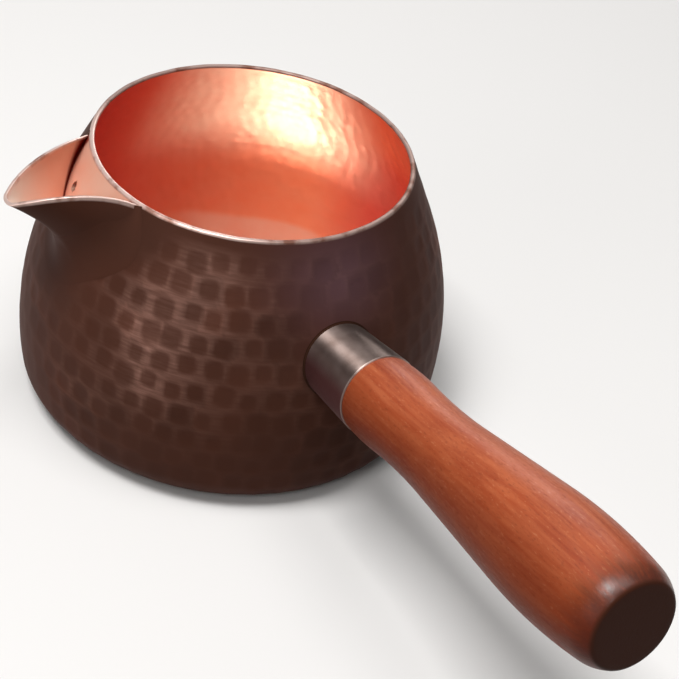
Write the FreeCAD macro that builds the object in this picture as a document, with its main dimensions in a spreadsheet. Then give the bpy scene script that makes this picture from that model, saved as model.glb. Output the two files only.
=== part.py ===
"""Hand-raised copper pouring pot with a beak spout and a turned side handle.

Frame: origin at the centre of the flat base, +Z up, +X the way the handle points.
"""
import FreeCAD, Part
import math
import os

import Sketcher

Vector = FreeCAD.Vector

# Driving dimensions, in millimetres and degrees
DIMENSIONS = {
    "rim_radius": 46.0,
    "body_height": 82.0,
    "sheet": 1.4,
    "rim_round": 0.5,
    "shoulder_angle": 25.0,
    "shoulder_length": 20.0,
    "belly_arc": 97.0,
    "corner_arc": 11.0,
    "spout_azimuth": -90.0,
    "beak_reach": 81.0,
    "beak_root": 56.9,
    "beak_depth": 25.8,
    "beak_angle": 25.0,
    "beak_angle_gain": 1.6,
    "beak_tip_round": 1.9,
    "beak_tip_gain": 0.36,
    "beak_back": 39.0,
    "beak_back_gain": 0.47,
    "beak_sheet": 1.3,
    "crest_arc": 39.4,
    "crest_reach": 54.5,
    "crest_rise": 1.2,
    "pour_hole": 2.4,
    "pour_hole_pitch": 5.0,
    "pour_hole_drop": 10.5,
    "solder": 0.8,
    "handle_height": 39.1,
    "handle_tilt": 10.5,
    "socket_start": 50.0,
    "socket_end": 80.8,
    "socket_start_radius": 10.2,
    "socket_end_radius": 11.7,
    "socket_sheet": 1.2,
    "tenon_start": 63.5,
    "grip_length": 106.6,
    "grip_shoulder_place": 8.0,
    "grip_shoulder_radius": 11.75,
    "grip_waist_place": 23.7,
    "grip_waist_radius": 11.22,
    "grip_waist_arc": 150.0,
    "grip_swell_place": 81.7,
    "grip_swell_radius": 15.12,
    "grip_swell_arc": 145.0,
    "grip_brow_arc": 12.0,
    "grip_end_radius": 11.5,
    "grip_end_round": 1.2,
    "pin_place": 72.0,
    "pin_diameter": 2.0,
    "pin_depth": 7.0,
    "pin_head": 4.0,
    "pin_head_height": 0.8,
}
# Depths below the rim plane of the level sections that shape the beak's skin and its trough
BEAK_LEVELS = (-4, 0, 4, 8, 12, 17, 25)
TROUGH_LEVELS = (-5, 0, 4, 8, 12, 17, 23)
# How steeply the keel falls away behind the tip
KEEL_POWER = 1.93
# Sideways and downward places of the pour holes, in pitches from the middle of the top row
POUR_HOLE_PLACES = ((-2, 0), (2, 0), (-1, 0.7), (1, 0.7), (0, 1), (-0.5, 1.8), (0.5, 1.8))
# The socket's outer radius at a place along the handle's axis, as an expression
SOCKET_RADIUS = ("(dims.socket_start_radius + (dims.socket_end_radius - dims.socket_start_radius)"
                 " * ({} - dims.socket_start) / (dims.socket_end - dims.socket_start))")
# The distance from the handle's axis to the pin's head, whose outer edge rests on the taper
PIN_SEAT = SOCKET_RADIUS.format("(dims.pin_place + dims.pin_head / 2)")

doc = FreeCAD.newDocument("side_handle_pot")


def make_sheet():
    """Writes the driving dimensions into the document's spreadsheet."""
    sheet = doc.addObject("Spreadsheet::Sheet", "dims")
    for row, (name, value) in enumerate(DIMENSIONS.items(), start=1):
        sheet.set(f"A{row}", name)
        sheet.set(f"B{row}", str(value))
        sheet.setAlias(f"B{row}", name)
    doc.recompute()
    return sheet


dims = make_sheet()


def drawn(expression):
    """Returns the value that an expression of the sheet's dimensions has when a sketch is drawn."""
    return float(dims.evalExpression(expression.replace("dims.", "")))


def new_sketch(body, name, role):
    """Adds a sketch on one of the body's own origin planes."""
    sketch = body.newObject("Sketcher::SketchObject", name)
    plane = next(item for item in body.Origin.OriginFeatures if item.Role == role)
    sketch.AttachmentSupport = [(plane, "")]
    sketch.MapMode = "FlatFace"
    return sketch


def point(across, up):
    """Returns a point in a sketch's own plane."""
    return Vector(across, up, 0)


def line(sketch, start, end):
    """Adds a straight edge and returns its index."""
    return sketch.addGeometry(Part.LineSegment(point(*start), point(*end)), False)


def circle(sketch, centre, radius):
    """Adds a circle and returns its index."""
    return sketch.addGeometry(Part.Circle(point(*centre), Vector(0, 0, 1), radius), False)


def arc(sketch, centre, radius, start, end):
    """Adds an anticlockwise arc between two angles in radians and returns its index."""
    whole = Part.Circle(point(*centre), Vector(0, 0, 1), radius)
    return sketch.addGeometry(Part.ArcOfCircle(whole, start, end), False)


def tie(sketch, *rules):
    """Adds constraints that have no dimension."""
    for rule in rules:
        sketch.addConstraint(Sketcher.Constraint(*rule))


def size(sketch, name, expression, *dimension):
    """Adds a dimension with its drawn value to a sketch and binds it to the sheet."""
    index = sketch.addConstraint(Sketcher.Constraint(*dimension))
    sketch.renameConstraint(index, name)
    sketch.setExpression("Constraints." + name, expression)


def bind(item, **expressions):
    """Binds properties to the sheet, where two underscores stand for a dot in a property's path."""
    for path, expression in expressions.items():
        item.setExpression(path.replace("__", "."), expression)


def combine(kind, name, base, tool):
    """Adds a boolean of two objects."""
    result = doc.addObject(kind, name)
    result.Base = base
    result.Tool = tool
    doc.recompute()
    return result


def turn_to_spout(item):
    """Turns an object modelled along +X to the spout's azimuth."""
    item.Placement.Rotation = FreeCAD.Rotation(Vector(0, 0, 1), dims.spout_azimuth)
    bind(item, Placement__Rotation__Angle="dims.spout_azimuth")
    return item


def turn_to_handle(item):
    """Tilts a body modelled along +X onto the handle's axis."""
    item.Placement.Rotation = FreeCAD.Rotation(Vector(0, -1, 0), dims.handle_tilt)
    bind(item, Placement__Rotation__Angle="dims.handle_tilt", Placement__Base__z="dims.handle_height")
    return item


def bowl_form(name, grow="0"):
    """Turns the filled outer form of the bowl, grown outwards all over by a value of the sheet."""
    more = drawn(grow)
    lean = math.radians(dims.shoulder_angle)
    run = dims.shoulder_length
    belly = dims.belly_arc + more
    corner = dims.corner_arc + more
    rim = (dims.rim_radius + more * math.cos(lean), dims.body_height + more * math.sin(lean))
    shoulder = (rim[0] + run * math.sin(lean), rim[1] - run * math.cos(lean))
    belly_centre = (shoulder[0] - belly * math.cos(lean), shoulder[1] - belly * math.sin(lean))
    drop = math.asin((belly_centre[1] - dims.corner_arc) / (belly - corner))
    corner_centre = (belly_centre[0] + (belly - corner) * math.cos(drop), dims.corner_arc)

    body = doc.addObject("PartDesign::Body", name)
    sketch = new_sketch(body, name + "_outline", "XZ_Plane")
    base = line(sketch, (0, -more), (corner_centre[0], -more))
    heel = arc(sketch, corner_centre, corner, -math.pi / 2, -drop)
    flank = arc(sketch, belly_centre, belly, -drop, lean)
    slope = line(sketch, shoulder, rim)
    top = line(sketch, rim, (0, rim[1]))
    axis = line(sketch, (0, rim[1]), (0, -more))
    tie(sketch, ("Tangent", base, 2, heel, 1), ("Tangent", heel, 2, flank, 1),
        ("Tangent", flank, 2, slope, 1), ("Coincident", slope, 2, top, 1),
        ("Coincident", top, 2, axis, 1), ("Coincident", axis, 2, base, 1),
        ("Horizontal", base), ("Horizontal", top), ("Vertical", axis), ("PointOnObject", base, 1, -2))
    if more:
        size(sketch, "base_drop", grow, "DistanceY", base, 1, -1, 1, more)
    else:
        tie(sketch, ("PointOnObject", base, 1, -1))
    size(sketch, "heel_radius", f"dims.corner_arc + {grow}", "Radius", heel, corner)
    size(sketch, "belly_radius", f"dims.belly_arc + {grow}", "Radius", flank, belly)
    size(sketch, "shoulder_run", "dims.shoulder_length", "Distance", slope, run)
    size(sketch, "lean", "(90 + dims.shoulder_angle) * 1 deg", "Angle", slope, math.pi / 2 + lean)
    size(sketch, "rim_reach", f"dims.rim_radius + {grow} * cos(dims.shoulder_angle * 1 deg)",
         "DistanceX", -1, 1, slope, 2, rim[0])
    size(sketch, "rim_height", f"dims.body_height + {grow} * sin(dims.shoulder_angle * 1 deg)",
         "DistanceY", -1, 1, slope, 2, rim[1])

    turned = body.newObject("PartDesign::Revolution", name + "_turned")
    turned.Profile = sketch
    turned.ReferenceAxis = (sketch, ["V_Axis"])
    turned.Angle = 360
    doc.recompute()
    return body


def edges_at_rim(shape):
    """Names the circular edges of a shape that lie in the rim plane."""
    heights = [(edge.BoundBox.ZMin, edge.BoundBox.ZMax) for edge in shape.Edges]
    return [f"Edge{number}" for number, (low, high) in enumerate(heights, start=1)
            if math.isclose(low, dims.body_height) and math.isclose(high, dims.body_height)]


def make_bowl():
    """Hollows the bowl from its rim, rounds the rim's edges and pierces the pour holes."""
    body = bowl_form("bowl")
    solid = body.Tip
    heights = [face.CenterOfMass.z for face in solid.Shape.Faces]
    hollow = body.newObject("PartDesign::Thickness", "bowl_wall")
    hollow.Base = (solid, [f"Face{heights.index(max(heights)) + 1}"])
    hollow.Reversed = True
    bind(hollow, Value="dims.sheet")
    doc.recompute()

    rim = body.newObject("PartDesign::Fillet", "burnished_rim")
    rim.Base = (hollow, edges_at_rim(hollow.Shape))
    bind(rim, Radius="dims.rim_round")
    doc.recompute()

    sketch = new_sketch(body, "pour_hole_places", "XZ_Plane")
    sketch.AttachmentOffset.Rotation = FreeCAD.Rotation(Vector(0, 1, 0), 90 + dims.spout_azimuth)
    bind(sketch, AttachmentOffset__Rotation__Angle="90 + dims.spout_azimuth")
    for number, (sideways, down) in enumerate(POUR_HOLE_PLACES):
        place = (sideways * dims.pour_hole_pitch,
                 dims.body_height - dims.pour_hole_drop - down * dims.pour_hole_pitch)
        hole = circle(sketch, place, dims.pour_hole / 2)
        size(sketch, f"radius_{number}", "dims.pour_hole / 2", "Radius", hole, dims.pour_hole / 2)
        size(sketch, f"height_{number}",
             f"dims.body_height - dims.pour_hole_drop - {down} * dims.pour_hole_pitch",
             "DistanceY", -1, 1, hole, 3, place[1])
        if sideways:
            size(sketch, f"side_{number}", f"{sideways} * dims.pour_hole_pitch",
                 "DistanceX", -1, 1, hole, 3, place[0])
        else:
            tie(sketch, ("PointOnObject", hole, 3, -2))
    holes = body.newObject("PartDesign::Pocket", "pour_holes")
    holes.Profile = sketch
    holes.Reversed = True
    bind(holes, Length="2 * dims.rim_radius")
    doc.recompute()
    print("pour holes take", round(rim.Shape.Volume - holes.Shape.Volume, 1), "mm3")
    return body


def beak_loft(body, kind, name, levels, inset):
    """Lofts the beak through level sections, inset from its outer skin by a value of the sheet.

    Each section is a V that opens towards the bowl, with a rounded tip. Going down, the tip draws
    back along the keel, its round grows and the V opens, so that the beak becomes a pouch.
    """
    sections = []
    for number, depth in enumerate(levels):
        level = f"({depth} + {inset} / 2)"
        keel = (f"(dims.beak_root + (dims.beak_reach - dims.beak_root)"
                f" * (1 - {level} / dims.beak_depth) ^ {KEEL_POWER})")
        outer_round = f"(dims.beak_tip_round + dims.beak_tip_gain * max(0; {level}))"
        expressions = {
            "tip_round": f"{outer_round} - {inset}",
            "tip_centre": f"{keel} - {outer_round}",
            "half_angle": f"(dims.beak_angle + dims.beak_angle_gain * {level}) * 1 deg",
            "back": f"dims.beak_back + dims.beak_back_gain * {max(depth, 0)} - abs({inset})",
        }
        angle = math.radians(drawn(expressions["half_angle"]))
        centre = drawn(expressions["tip_centre"])
        radius = drawn(expressions["tip_round"])
        back = drawn(expressions["back"])
        half = (centre + radius / math.sin(angle) - back) * math.tan(angle)
        touch = (centre + radius * math.sin(angle), radius * math.cos(angle))

        sketch = new_sketch(body, f"{name}_{number}", "XY_Plane")
        bind(sketch, AttachmentOffset__Base__z=f"dims.body_height - {depth}")
        closing = line(sketch, (back, half), (back, -half))
        near = line(sketch, (back, -half), (touch[0], -touch[1]))
        tip = arc(sketch, (centre, 0), radius, angle - math.pi / 2, math.pi / 2 - angle)
        far = line(sketch, touch, (back, half))
        tie(sketch, ("Coincident", closing, 2, near, 1), ("Tangent", near, 2, tip, 1),
            ("Tangent", tip, 2, far, 1), ("Coincident", far, 2, closing, 1),
            ("Symmetric", closing, 1, closing, 2, -1), ("PointOnObject", tip, 3, -1))
        size(sketch, "half_angle", expressions["half_angle"], "Angle", near, angle)
        size(sketch, "tip_round", expressions["tip_round"], "Radius", tip, radius)
        size(sketch, "tip_centre", expressions["tip_centre"], "DistanceX", -1, 1, tip, 3, centre)
        size(sketch, "back", expressions["back"], "DistanceX", -1, 1, closing, 1, back)
        sections.append(sketch)
    doc.recompute()
    loft = body.newObject(kind, name)
    loft.Profile = sections[0]
    loft.Sections = sections[1:]
    doc.recompute()
    return loft


def beak_form(name, inset):
    """Lofts the filled form of the beak and turns it to the spout's azimuth."""
    body = doc.addObject("PartDesign::Body", name)
    beak_loft(body, "PartDesign::AdditiveLoft", name + "_skin", BEAK_LEVELS, inset)
    return turn_to_spout(body)


def crest_form():
    """Adds the lying cylinder whose top is the arched line of the beak's edges."""
    crest = doc.addObject("Part::Cylinder", "beak_crest")
    turn = FreeCAD.Rotation(Vector(0, 0, 1), dims.spout_azimuth)
    place = turn.multVec(Vector(dims.crest_reach, dims.rim_radius, 0))
    crest.Placement = FreeCAD.Placement(place, turn.multiply(FreeCAD.Rotation(Vector(1, 0, 0), 90)))
    bind(crest, Radius="dims.crest_arc", Height="2 * dims.rim_radius",
         Placement__Base__z="dims.body_height + dims.crest_rise - dims.crest_arc")
    return crest


def make_beak(bowl_core, crest):
    """Shapes the folded sheet beak that stands against the bowl's outer wall."""
    body = beak_form("beak_blank", "0")
    filled = body.Shape.Volume
    beak_loft(body, "PartDesign::SubtractiveLoft", "trough", TROUGH_LEVELS, "dims.beak_sheet")
    print("trough takes", round(filled - body.Shape.Volume, 1), "mm3")
    fitted = combine("Part::Cut", "beak_fitted", body, bowl_core)
    return combine("Part::Common", "spout_beak", fitted, crest)


def make_beak_solder(bowl_core, bowl_grown, crest):
    """Lays the dressed solder bead along the outside seam of the beak and the bowl."""
    grown = beak_form("beak_grown", "(-dims.solder)")
    bead = combine("Part::Common", "beak_bead", grown, bowl_grown)
    bead = combine("Part::Cut", "beak_bead_off_bowl", bead, bowl_core)
    bead = combine("Part::Cut", "beak_bead_off_beak", bead, beak_form("beak_core", "0"))
    return combine("Part::Common", "spout_solder", bead, crest)


def handle_cone(name, start, end, grow):
    """Adds a cone in line with the socket, from one place along the handle's axis to another."""
    cone = doc.addObject("Part::Cone", name)
    tilt = FreeCAD.Rotation(Vector(0, -1, 0), dims.handle_tilt)
    cone.Placement.Rotation = tilt.multiply(FreeCAD.Rotation(Vector(0, 1, 0), 90))
    bind(cone, Radius1=f"{SOCKET_RADIUS.format(start)} + {grow}",
         Radius2=f"{SOCKET_RADIUS.format(end)} + {grow}", Height=f"{end} - {start}",
         Placement__Base__x=f"{start} * cos(dims.handle_tilt * 1 deg)",
         Placement__Base__z=f"dims.handle_height + {start} * sin(dims.handle_tilt * 1 deg)")
    return cone


def pin_bore(name):
    """Adds the bore that the pin is driven through, square to the underside of the handle."""
    bore = doc.addObject("Part::Cylinder", name)
    bore.Placement.Rotation = FreeCAD.Rotation(Vector(0, -1, 0), dims.handle_tilt)
    reach = "(dims.socket_end_radius + dims.pin_head)"
    bind(bore, Radius="dims.pin_diameter / 2", Height=f"{reach} - {PIN_SEAT} + dims.pin_depth",
         Placement__Base__x=(f"dims.pin_place * cos(dims.handle_tilt * 1 deg)"
                             f" + {reach} * sin(dims.handle_tilt * 1 deg)"),
         Placement__Base__z=(f"dims.handle_height + dims.pin_place * sin(dims.handle_tilt * 1 deg)"
                             f" - {reach} * cos(dims.handle_tilt * 1 deg)"))
    return bore


def make_socket(bowl_core, bore):
    """Rolls the tapered sheet socket and trims its root to the bowl's wall."""
    outer = handle_cone("socket_outer", "dims.socket_start", "dims.socket_end", "0")
    inner = handle_cone("socket_bore", "dims.socket_start", "dims.socket_end", "(-dims.socket_sheet)")
    tube = combine("Part::Cut", "socket_tube", outer, inner)
    trimmed = combine("Part::Cut", "socket_trimmed", tube, bowl_core)
    return combine("Part::Cut", "handle_socket", trimmed, bore)


def make_socket_solder(bowl_core, bowl_grown):
    """Lays the brazed bead round the socket's root."""
    grown = handle_cone("socket_grown", "dims.socket_start", "dims.socket_end", "dims.solder")
    core = handle_cone("socket_core", "dims.socket_start", "dims.socket_end", "0")
    bead = combine("Part::Common", "socket_bead", grown, bowl_grown)
    bead = combine("Part::Cut", "socket_bead_off_bowl", bead, bowl_core)
    return combine("Part::Cut", "socket_solder", bead, core)


def grip_outline(sketch):
    """Draws the turned outline of the grip and its tenon, as half a section along the axis."""
    start = dims.socket_end
    end = start + dims.grip_length
    swell_arc = dims.grip_swell_arc
    waist_arc = dims.grip_waist_arc
    brow_arc = dims.grip_brow_arc
    rise = dims.grip_shoulder_radius - dims.grip_waist_radius
    gap = dims.grip_waist_place - dims.grip_shoulder_place
    shoulder_arc = (gap ** 2 + rise ** 2) / (2 * rise) - waist_arc
    shoulder = point(start + dims.grip_shoulder_place, dims.grip_shoulder_radius - shoulder_arc)
    waist = point(start + dims.grip_waist_place, dims.grip_waist_radius + waist_arc)
    swell = point(start + dims.grip_swell_place, dims.grip_swell_radius - swell_arc)

    # The straight taper touches the waist arc from below and the swell arc from above
    across = swell - waist
    slope = math.atan2(across.y, across.x) + math.asin((waist_arc + swell_arc) / across.Length)
    turn = math.asin(gap / (waist_arc + shoulder_arc))
    leave = math.acos(dims.grip_shoulder_place / shoulder_arc)

    # The brow arc leaves the swell and ends on the edge of the flat end face
    edge = point(end, dims.grip_end_radius)
    reach = edge - swell
    inner = swell_arc - brow_arc
    along = (inner ** 2 - brow_arc ** 2 + reach.Length ** 2) / (2 * reach.Length)
    tilt = math.atan2(reach.y, reach.x) + math.acos(along / inner)
    brow = swell + point(math.cos(tilt), math.sin(tilt)) * inner
    fall = math.atan2(edge.y - brow.y, edge.x - brow.x)

    tenon_end = dims.socket_end_radius - dims.socket_sheet
    tenon_start = drawn(SOCKET_RADIUS.format("dims.tenon_start")) - dims.socket_sheet
    first = shoulder.y + shoulder_arc * math.sin(leave)
    normal = point(-math.sin(slope), math.cos(slope))
    waist_touch = waist - normal * waist_arc
    swell_touch = swell + normal * swell_arc

    root = line(sketch, (dims.tenon_start, 0), (dims.tenon_start, tenon_start))
    plug = line(sketch, (dims.tenon_start, tenon_start), (start, tenon_end))
    step = line(sketch, (start, tenon_end), (start, first))
    bulge = arc(sketch, (shoulder.x, shoulder.y), shoulder_arc, math.pi / 2 - turn, math.pi - leave)
    hollow = arc(sketch, (waist.x, waist.y), waist_arc, 1.5 * math.pi - turn, 1.5 * math.pi + slope)
    ramp = line(sketch, (waist_touch.x, waist_touch.y), (swell_touch.x, swell_touch.y))
    palm = arc(sketch, (swell.x, swell.y), swell_arc, tilt, math.pi / 2 + slope)
    nose = arc(sketch, (brow.x, brow.y), brow_arc, fall, tilt)
    face = line(sketch, (end, dims.grip_end_radius), (end, 0))
    axis = line(sketch, (end, 0), (dims.tenon_start, 0))
    tie(sketch, ("Coincident", root, 2, plug, 1), ("Coincident", plug, 2, step, 1),
        ("Coincident", step, 2, bulge, 2), ("Tangent", bulge, 1, hollow, 1), ("Tangent", hollow, 2, ramp, 1),
        ("Tangent", ramp, 2, palm, 2), ("Tangent", palm, 1, nose, 2), ("Coincident", nose, 1, face, 1),
        ("Coincident", face, 2, axis, 1), ("Coincident", axis, 2, root, 1),
        ("Vertical", root), ("Vertical", step), ("Vertical", face), ("Horizontal", axis),
        ("PointOnObject", root, 1, -1))
    size(sketch, "tenon_place", "dims.tenon_start", "DistanceX", -1, 1, root, 1, dims.tenon_start)
    size(sketch, "tenon_tip", SOCKET_RADIUS.format("dims.tenon_start") + " - dims.socket_sheet",
         "DistanceY", -1, 1, root, 2, tenon_start)
    size(sketch, "tenon_mouth", "dims.socket_end_radius - dims.socket_sheet",
         "DistanceY", -1, 1, plug, 2, tenon_end)
    size(sketch, "grip_place", "dims.socket_end", "DistanceX", -1, 1, step, 1, start)
    size(sketch, "shoulder_place", "dims.socket_end + dims.grip_shoulder_place",
         "DistanceX", -1, 1, bulge, 3, shoulder.x)
    size(sketch, "waist_place", "dims.socket_end + dims.grip_waist_place",
         "DistanceX", -1, 1, hollow, 3, waist.x)
    size(sketch, "waist_centre", "dims.grip_waist_radius + dims.grip_waist_arc",
         "DistanceY", -1, 1, hollow, 3, waist.y)
    size(sketch, "waist_arc", "dims.grip_waist_arc", "Radius", hollow, waist_arc)
    size(sketch, "swell_place", "dims.socket_end + dims.grip_swell_place",
         "DistanceX", -1, 1, palm, 3, swell.x)
    size(sketch, "swell_centre", "dims.grip_swell_arc - dims.grip_swell_radius",
         "DistanceY", palm, 3, -1, 1, -swell.y)
    size(sketch, "swell_arc", "dims.grip_swell_arc", "Radius", palm, swell_arc)
    size(sketch, "brow_arc", "dims.grip_brow_arc", "Radius", nose, brow_arc)
    size(sketch, "end_place", "dims.socket_end + dims.grip_length", "DistanceX", -1, 1, face, 1, end)
    size(sketch, "end_radius", "dims.grip_end_radius", "DistanceY", -1, 1, face, 1, dims.grip_end_radius)
    bump = "(dims.grip_shoulder_radius - dims.grip_waist_radius)"
    size(sketch, "shoulder_arc", f"((dims.grip_waist_place - dims.grip_shoulder_place) ^ 2 + {bump} ^ 2)"
         f" / (2 * {bump}) - dims.grip_waist_arc", "Radius", bulge, shoulder_arc)


def make_grip(bore):
    """Turns the wooden grip with the tapered tenon that is driven into the socket."""
    body = doc.addObject("PartDesign::Body", "grip_turned")
    sketch = new_sketch(body, "grip_outline", "XZ_Plane")
    grip_outline(sketch)
    turned = body.newObject("PartDesign::Revolution", "grip_lathe")
    turned.Profile = sketch
    turned.ReferenceAxis = (sketch, ["H_Axis"])
    turned.Angle = 360
    doc.recompute()
    places = [face.CenterOfMass.x for face in turned.Shape.Faces]
    eased = body.newObject("PartDesign::Fillet", "grip_end_edge")
    eased.Base = (turned, [f"Face{places.index(max(places)) + 1}"])
    bind(eased, Radius="dims.grip_end_round")
    turn_to_handle(body)
    doc.recompute()
    return combine("Part::Cut", "grip", body, bore)


def make_pin():
    """Turns the domed copper pin that holds the tenon in the socket."""
    body = doc.addObject("PartDesign::Body", "grip_pin")
    sketch = new_sketch(body, "pin_outline", "XZ_Plane")
    shank = dims.pin_diameter / 2
    head = dims.pin_head / 2
    seat = -drawn(PIN_SEAT)
    tip = seat + dims.pin_depth
    crown = seat - dims.pin_head_height
    dome = (head ** 2 + dims.pin_head_height ** 2) / (2 * dims.pin_head_height)
    centre = crown + dome
    swing = math.asin(head / dome)
    bottom = line(sketch, (0, tip), (0, crown))
    cap = arc(sketch, (0, centre), dome, -math.pi / 2, swing - math.pi / 2)
    ledge = line(sketch, (head, seat), (shank, seat))
    side = line(sketch, (shank, seat), (shank, tip))
    end = line(sketch, (shank, tip), (0, tip))
    edges = [bottom, cap, ledge, side, end]
    for first, second in zip(edges, edges[1:] + edges[:1]):
        tie(sketch, ("Coincident", first, 2, second, 1))
    tie(sketch, ("PointOnObject", bottom, 1, -2), ("PointOnObject", cap, 3, -2), ("Vertical", bottom),
        ("Horizontal", ledge), ("Vertical", side), ("Horizontal", end))
    size(sketch, "shank_radius", "dims.pin_diameter / 2", "DistanceX", -1, 1, side, 1, shank)
    size(sketch, "head_radius", "dims.pin_head / 2", "DistanceX", -1, 1, ledge, 1, head)
    size(sketch, "seat", PIN_SEAT, "DistanceY", ledge, 1, -1, 1, -seat)
    size(sketch, "depth", "dims.pin_depth", "DistanceY", side, 1, side, 2, dims.pin_depth)
    size(sketch, "crown", "dims.pin_head_height", "DistanceY", bottom, 2, ledge, 1, dims.pin_head_height)
    turned = body.newObject("PartDesign::Revolution", "pin_turned")
    turned.Profile = sketch
    turned.ReferenceAxis = (sketch, ["V_Axis"])
    turned.Angle = 360
    body.Placement.Rotation = FreeCAD.Rotation(Vector(0, -1, 0), dims.handle_tilt)
    bind(body, Placement__Rotation__Angle="dims.handle_tilt",
         Placement__Base__x="dims.pin_place * cos(dims.handle_tilt * 1 deg)",
         Placement__Base__z="dims.handle_height + dims.pin_place * sin(dims.handle_tilt * 1 deg)")
    doc.recompute()
    return body


def main():
    """Makes every piece, checks the document and writes one file per piece."""
    bowl_core = bowl_form("bowl_core")
    bowl_grown = bowl_form("bowl_grown", "dims.solder")
    crest = crest_form()
    bore = pin_bore("pin_bore")
    pieces = [
        make_bowl(),
        make_beak(bowl_core, crest),
        make_beak_solder(bowl_core, bowl_grown, crest),
        make_socket(bowl_core, bore),
        make_socket_solder(bowl_core, bowl_grown),
        make_grip(bore),
        make_pin(),
    ]
    for item in doc.Objects:
        if "Invalid" in item.State or "Error" in item.State:
            raise RuntimeError(f"{item.Label} failed: {item.State}")
    os.makedirs("parts", exist_ok=True)
    for piece in pieces:
        if piece.Shape.isNull() or not piece.Shape.isValid():
            raise RuntimeError(f"{piece.Label} has no valid shape")
        print(f"{piece.Label}: {len(piece.Shape.Solids)} solid, {piece.Shape.Volume:.1f} mm3")
        piece.Shape.exportStep(f"parts/{piece.Label}.step")


if __name__ == "__main__":
    main()
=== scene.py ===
"""Visual model of a hand-raised copper pouring pot with a beak spout and a turned side handle.

Lengths in the classes are millimetres in the part's own frame: the origin is at the centre of the
flat base, +Z is up and +X is the way the handle points. Meshes are written in metres.
"""
from __future__ import annotations

import logging
import math
from collections.abc import Callable
from dataclasses import dataclass
from enum import Enum
from functools import partial

import bpy
import numpy as np
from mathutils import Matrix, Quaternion, Vector

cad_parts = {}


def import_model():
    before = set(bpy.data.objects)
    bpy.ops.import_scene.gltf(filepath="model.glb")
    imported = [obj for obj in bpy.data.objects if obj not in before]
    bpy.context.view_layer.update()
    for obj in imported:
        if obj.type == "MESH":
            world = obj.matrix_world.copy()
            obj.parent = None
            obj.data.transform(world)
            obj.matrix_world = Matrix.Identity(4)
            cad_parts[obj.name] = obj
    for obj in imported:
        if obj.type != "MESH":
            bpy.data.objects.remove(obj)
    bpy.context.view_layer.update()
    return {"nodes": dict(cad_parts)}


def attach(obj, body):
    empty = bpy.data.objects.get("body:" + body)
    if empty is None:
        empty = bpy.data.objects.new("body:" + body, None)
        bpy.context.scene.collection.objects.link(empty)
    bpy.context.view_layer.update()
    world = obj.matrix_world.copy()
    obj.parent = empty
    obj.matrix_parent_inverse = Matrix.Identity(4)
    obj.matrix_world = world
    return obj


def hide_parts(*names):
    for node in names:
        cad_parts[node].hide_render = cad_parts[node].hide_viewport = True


log = logging.getLogger("pouring_pot")

METRES = 0.001
BODY = "root"
SHARP_EDGE = math.radians(55)
SAME_PLACE = 1e-6
WHITE = "FFFFFF"
COPPER_MARKS = ("bare", "ridge", "tone", "burnish", "crevice", "flush", "matt", "pickled", "bloom")

# A Mix node's inputs for colours, and the settings that make it mix them
SHARE, FIRST, SECOND = 0, 6, 7
COLOURS = {"out": 2, "data_type": "RGBA"}

Piece = bpy.types.Object
Span = tuple[float, float]
Place = tuple[float, float, float]


class Zone(Enum):
    """The parts of the bowl's wall that the smith finishes in different ways."""

    OUTSIDE = "outside"
    RIM = "rim"
    INSIDE = "inside"


def linear(code: str) -> tuple[float, float, float, float]:
    """Turns an sRGB hex colour into linear light.

    Args:
        code: six hex digits.

    Returns:
        Red, green, blue and a full alpha.
    """
    parts = [int(code[place:place + 2], 16) / 255 for place in (0, 2, 4)]
    light = [part / 12.92 if part <= 0.04045 else ((part + 0.055) / 1.055) ** 2.4 for part in parts]
    return (light[0], light[1], light[2], 1.0)


def per_metre(size: float) -> float:
    """Returns the texture scale that makes a pattern repeat at a size in millimetres."""
    return 1 / (size * METRES)


def ease(low: float, high: float, values: np.ndarray) -> np.ndarray:
    """Blends smoothly from 0 at one value to 1 at another."""
    share = np.clip((values - low) / (high - low), 0, 1)
    return share * share * (3 - 2 * share)


def unit(vectors: np.ndarray) -> np.ndarray:
    """Returns vectors at a length of 1."""
    return vectors / np.linalg.norm(vectors, axis=-1, keepdims=True)


def run_length(points: np.ndarray) -> np.ndarray:
    """Returns the distance along a line of points to each of them."""
    return np.concatenate(([0], np.cumsum(np.linalg.norm(np.diff(points, axis=0), axis=1))))


def away_from(around: np.ndarray, azimuth: float) -> np.ndarray:
    """Returns how far azimuths in radians lie from one in degrees, the shorter way round."""
    return np.abs(np.mod(around - math.radians(azimuth) + math.pi, math.tau) - math.pi)


def arc_run(centre: Span | np.ndarray, radius: float, start: float, end: float, step: float) -> np.ndarray:
    """Places points along an arc of an outline.

    Args:
        centre: the arc's centre, across and up.
        radius: its radius.
        start: angle of its first point, in radians.
        end: angle of its last point.
        step: the longest distance between points.

    Returns:
        One row per point, across and up.
    """
    count = max(2, math.ceil(abs(end - start) * radius / step))
    angles = np.linspace(start, end, count + 1)
    return np.column_stack((centre[0] + radius * np.cos(angles), centre[1] + radius * np.sin(angles)))


def line_run(start: Span | np.ndarray, end: Span | np.ndarray, step: float) -> np.ndarray:
    """Places points along a straight stretch of an outline, no further apart than a step."""
    count = max(1, math.ceil(math.dist(start, end) / step))
    return np.linspace(start, end, count + 1)


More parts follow.
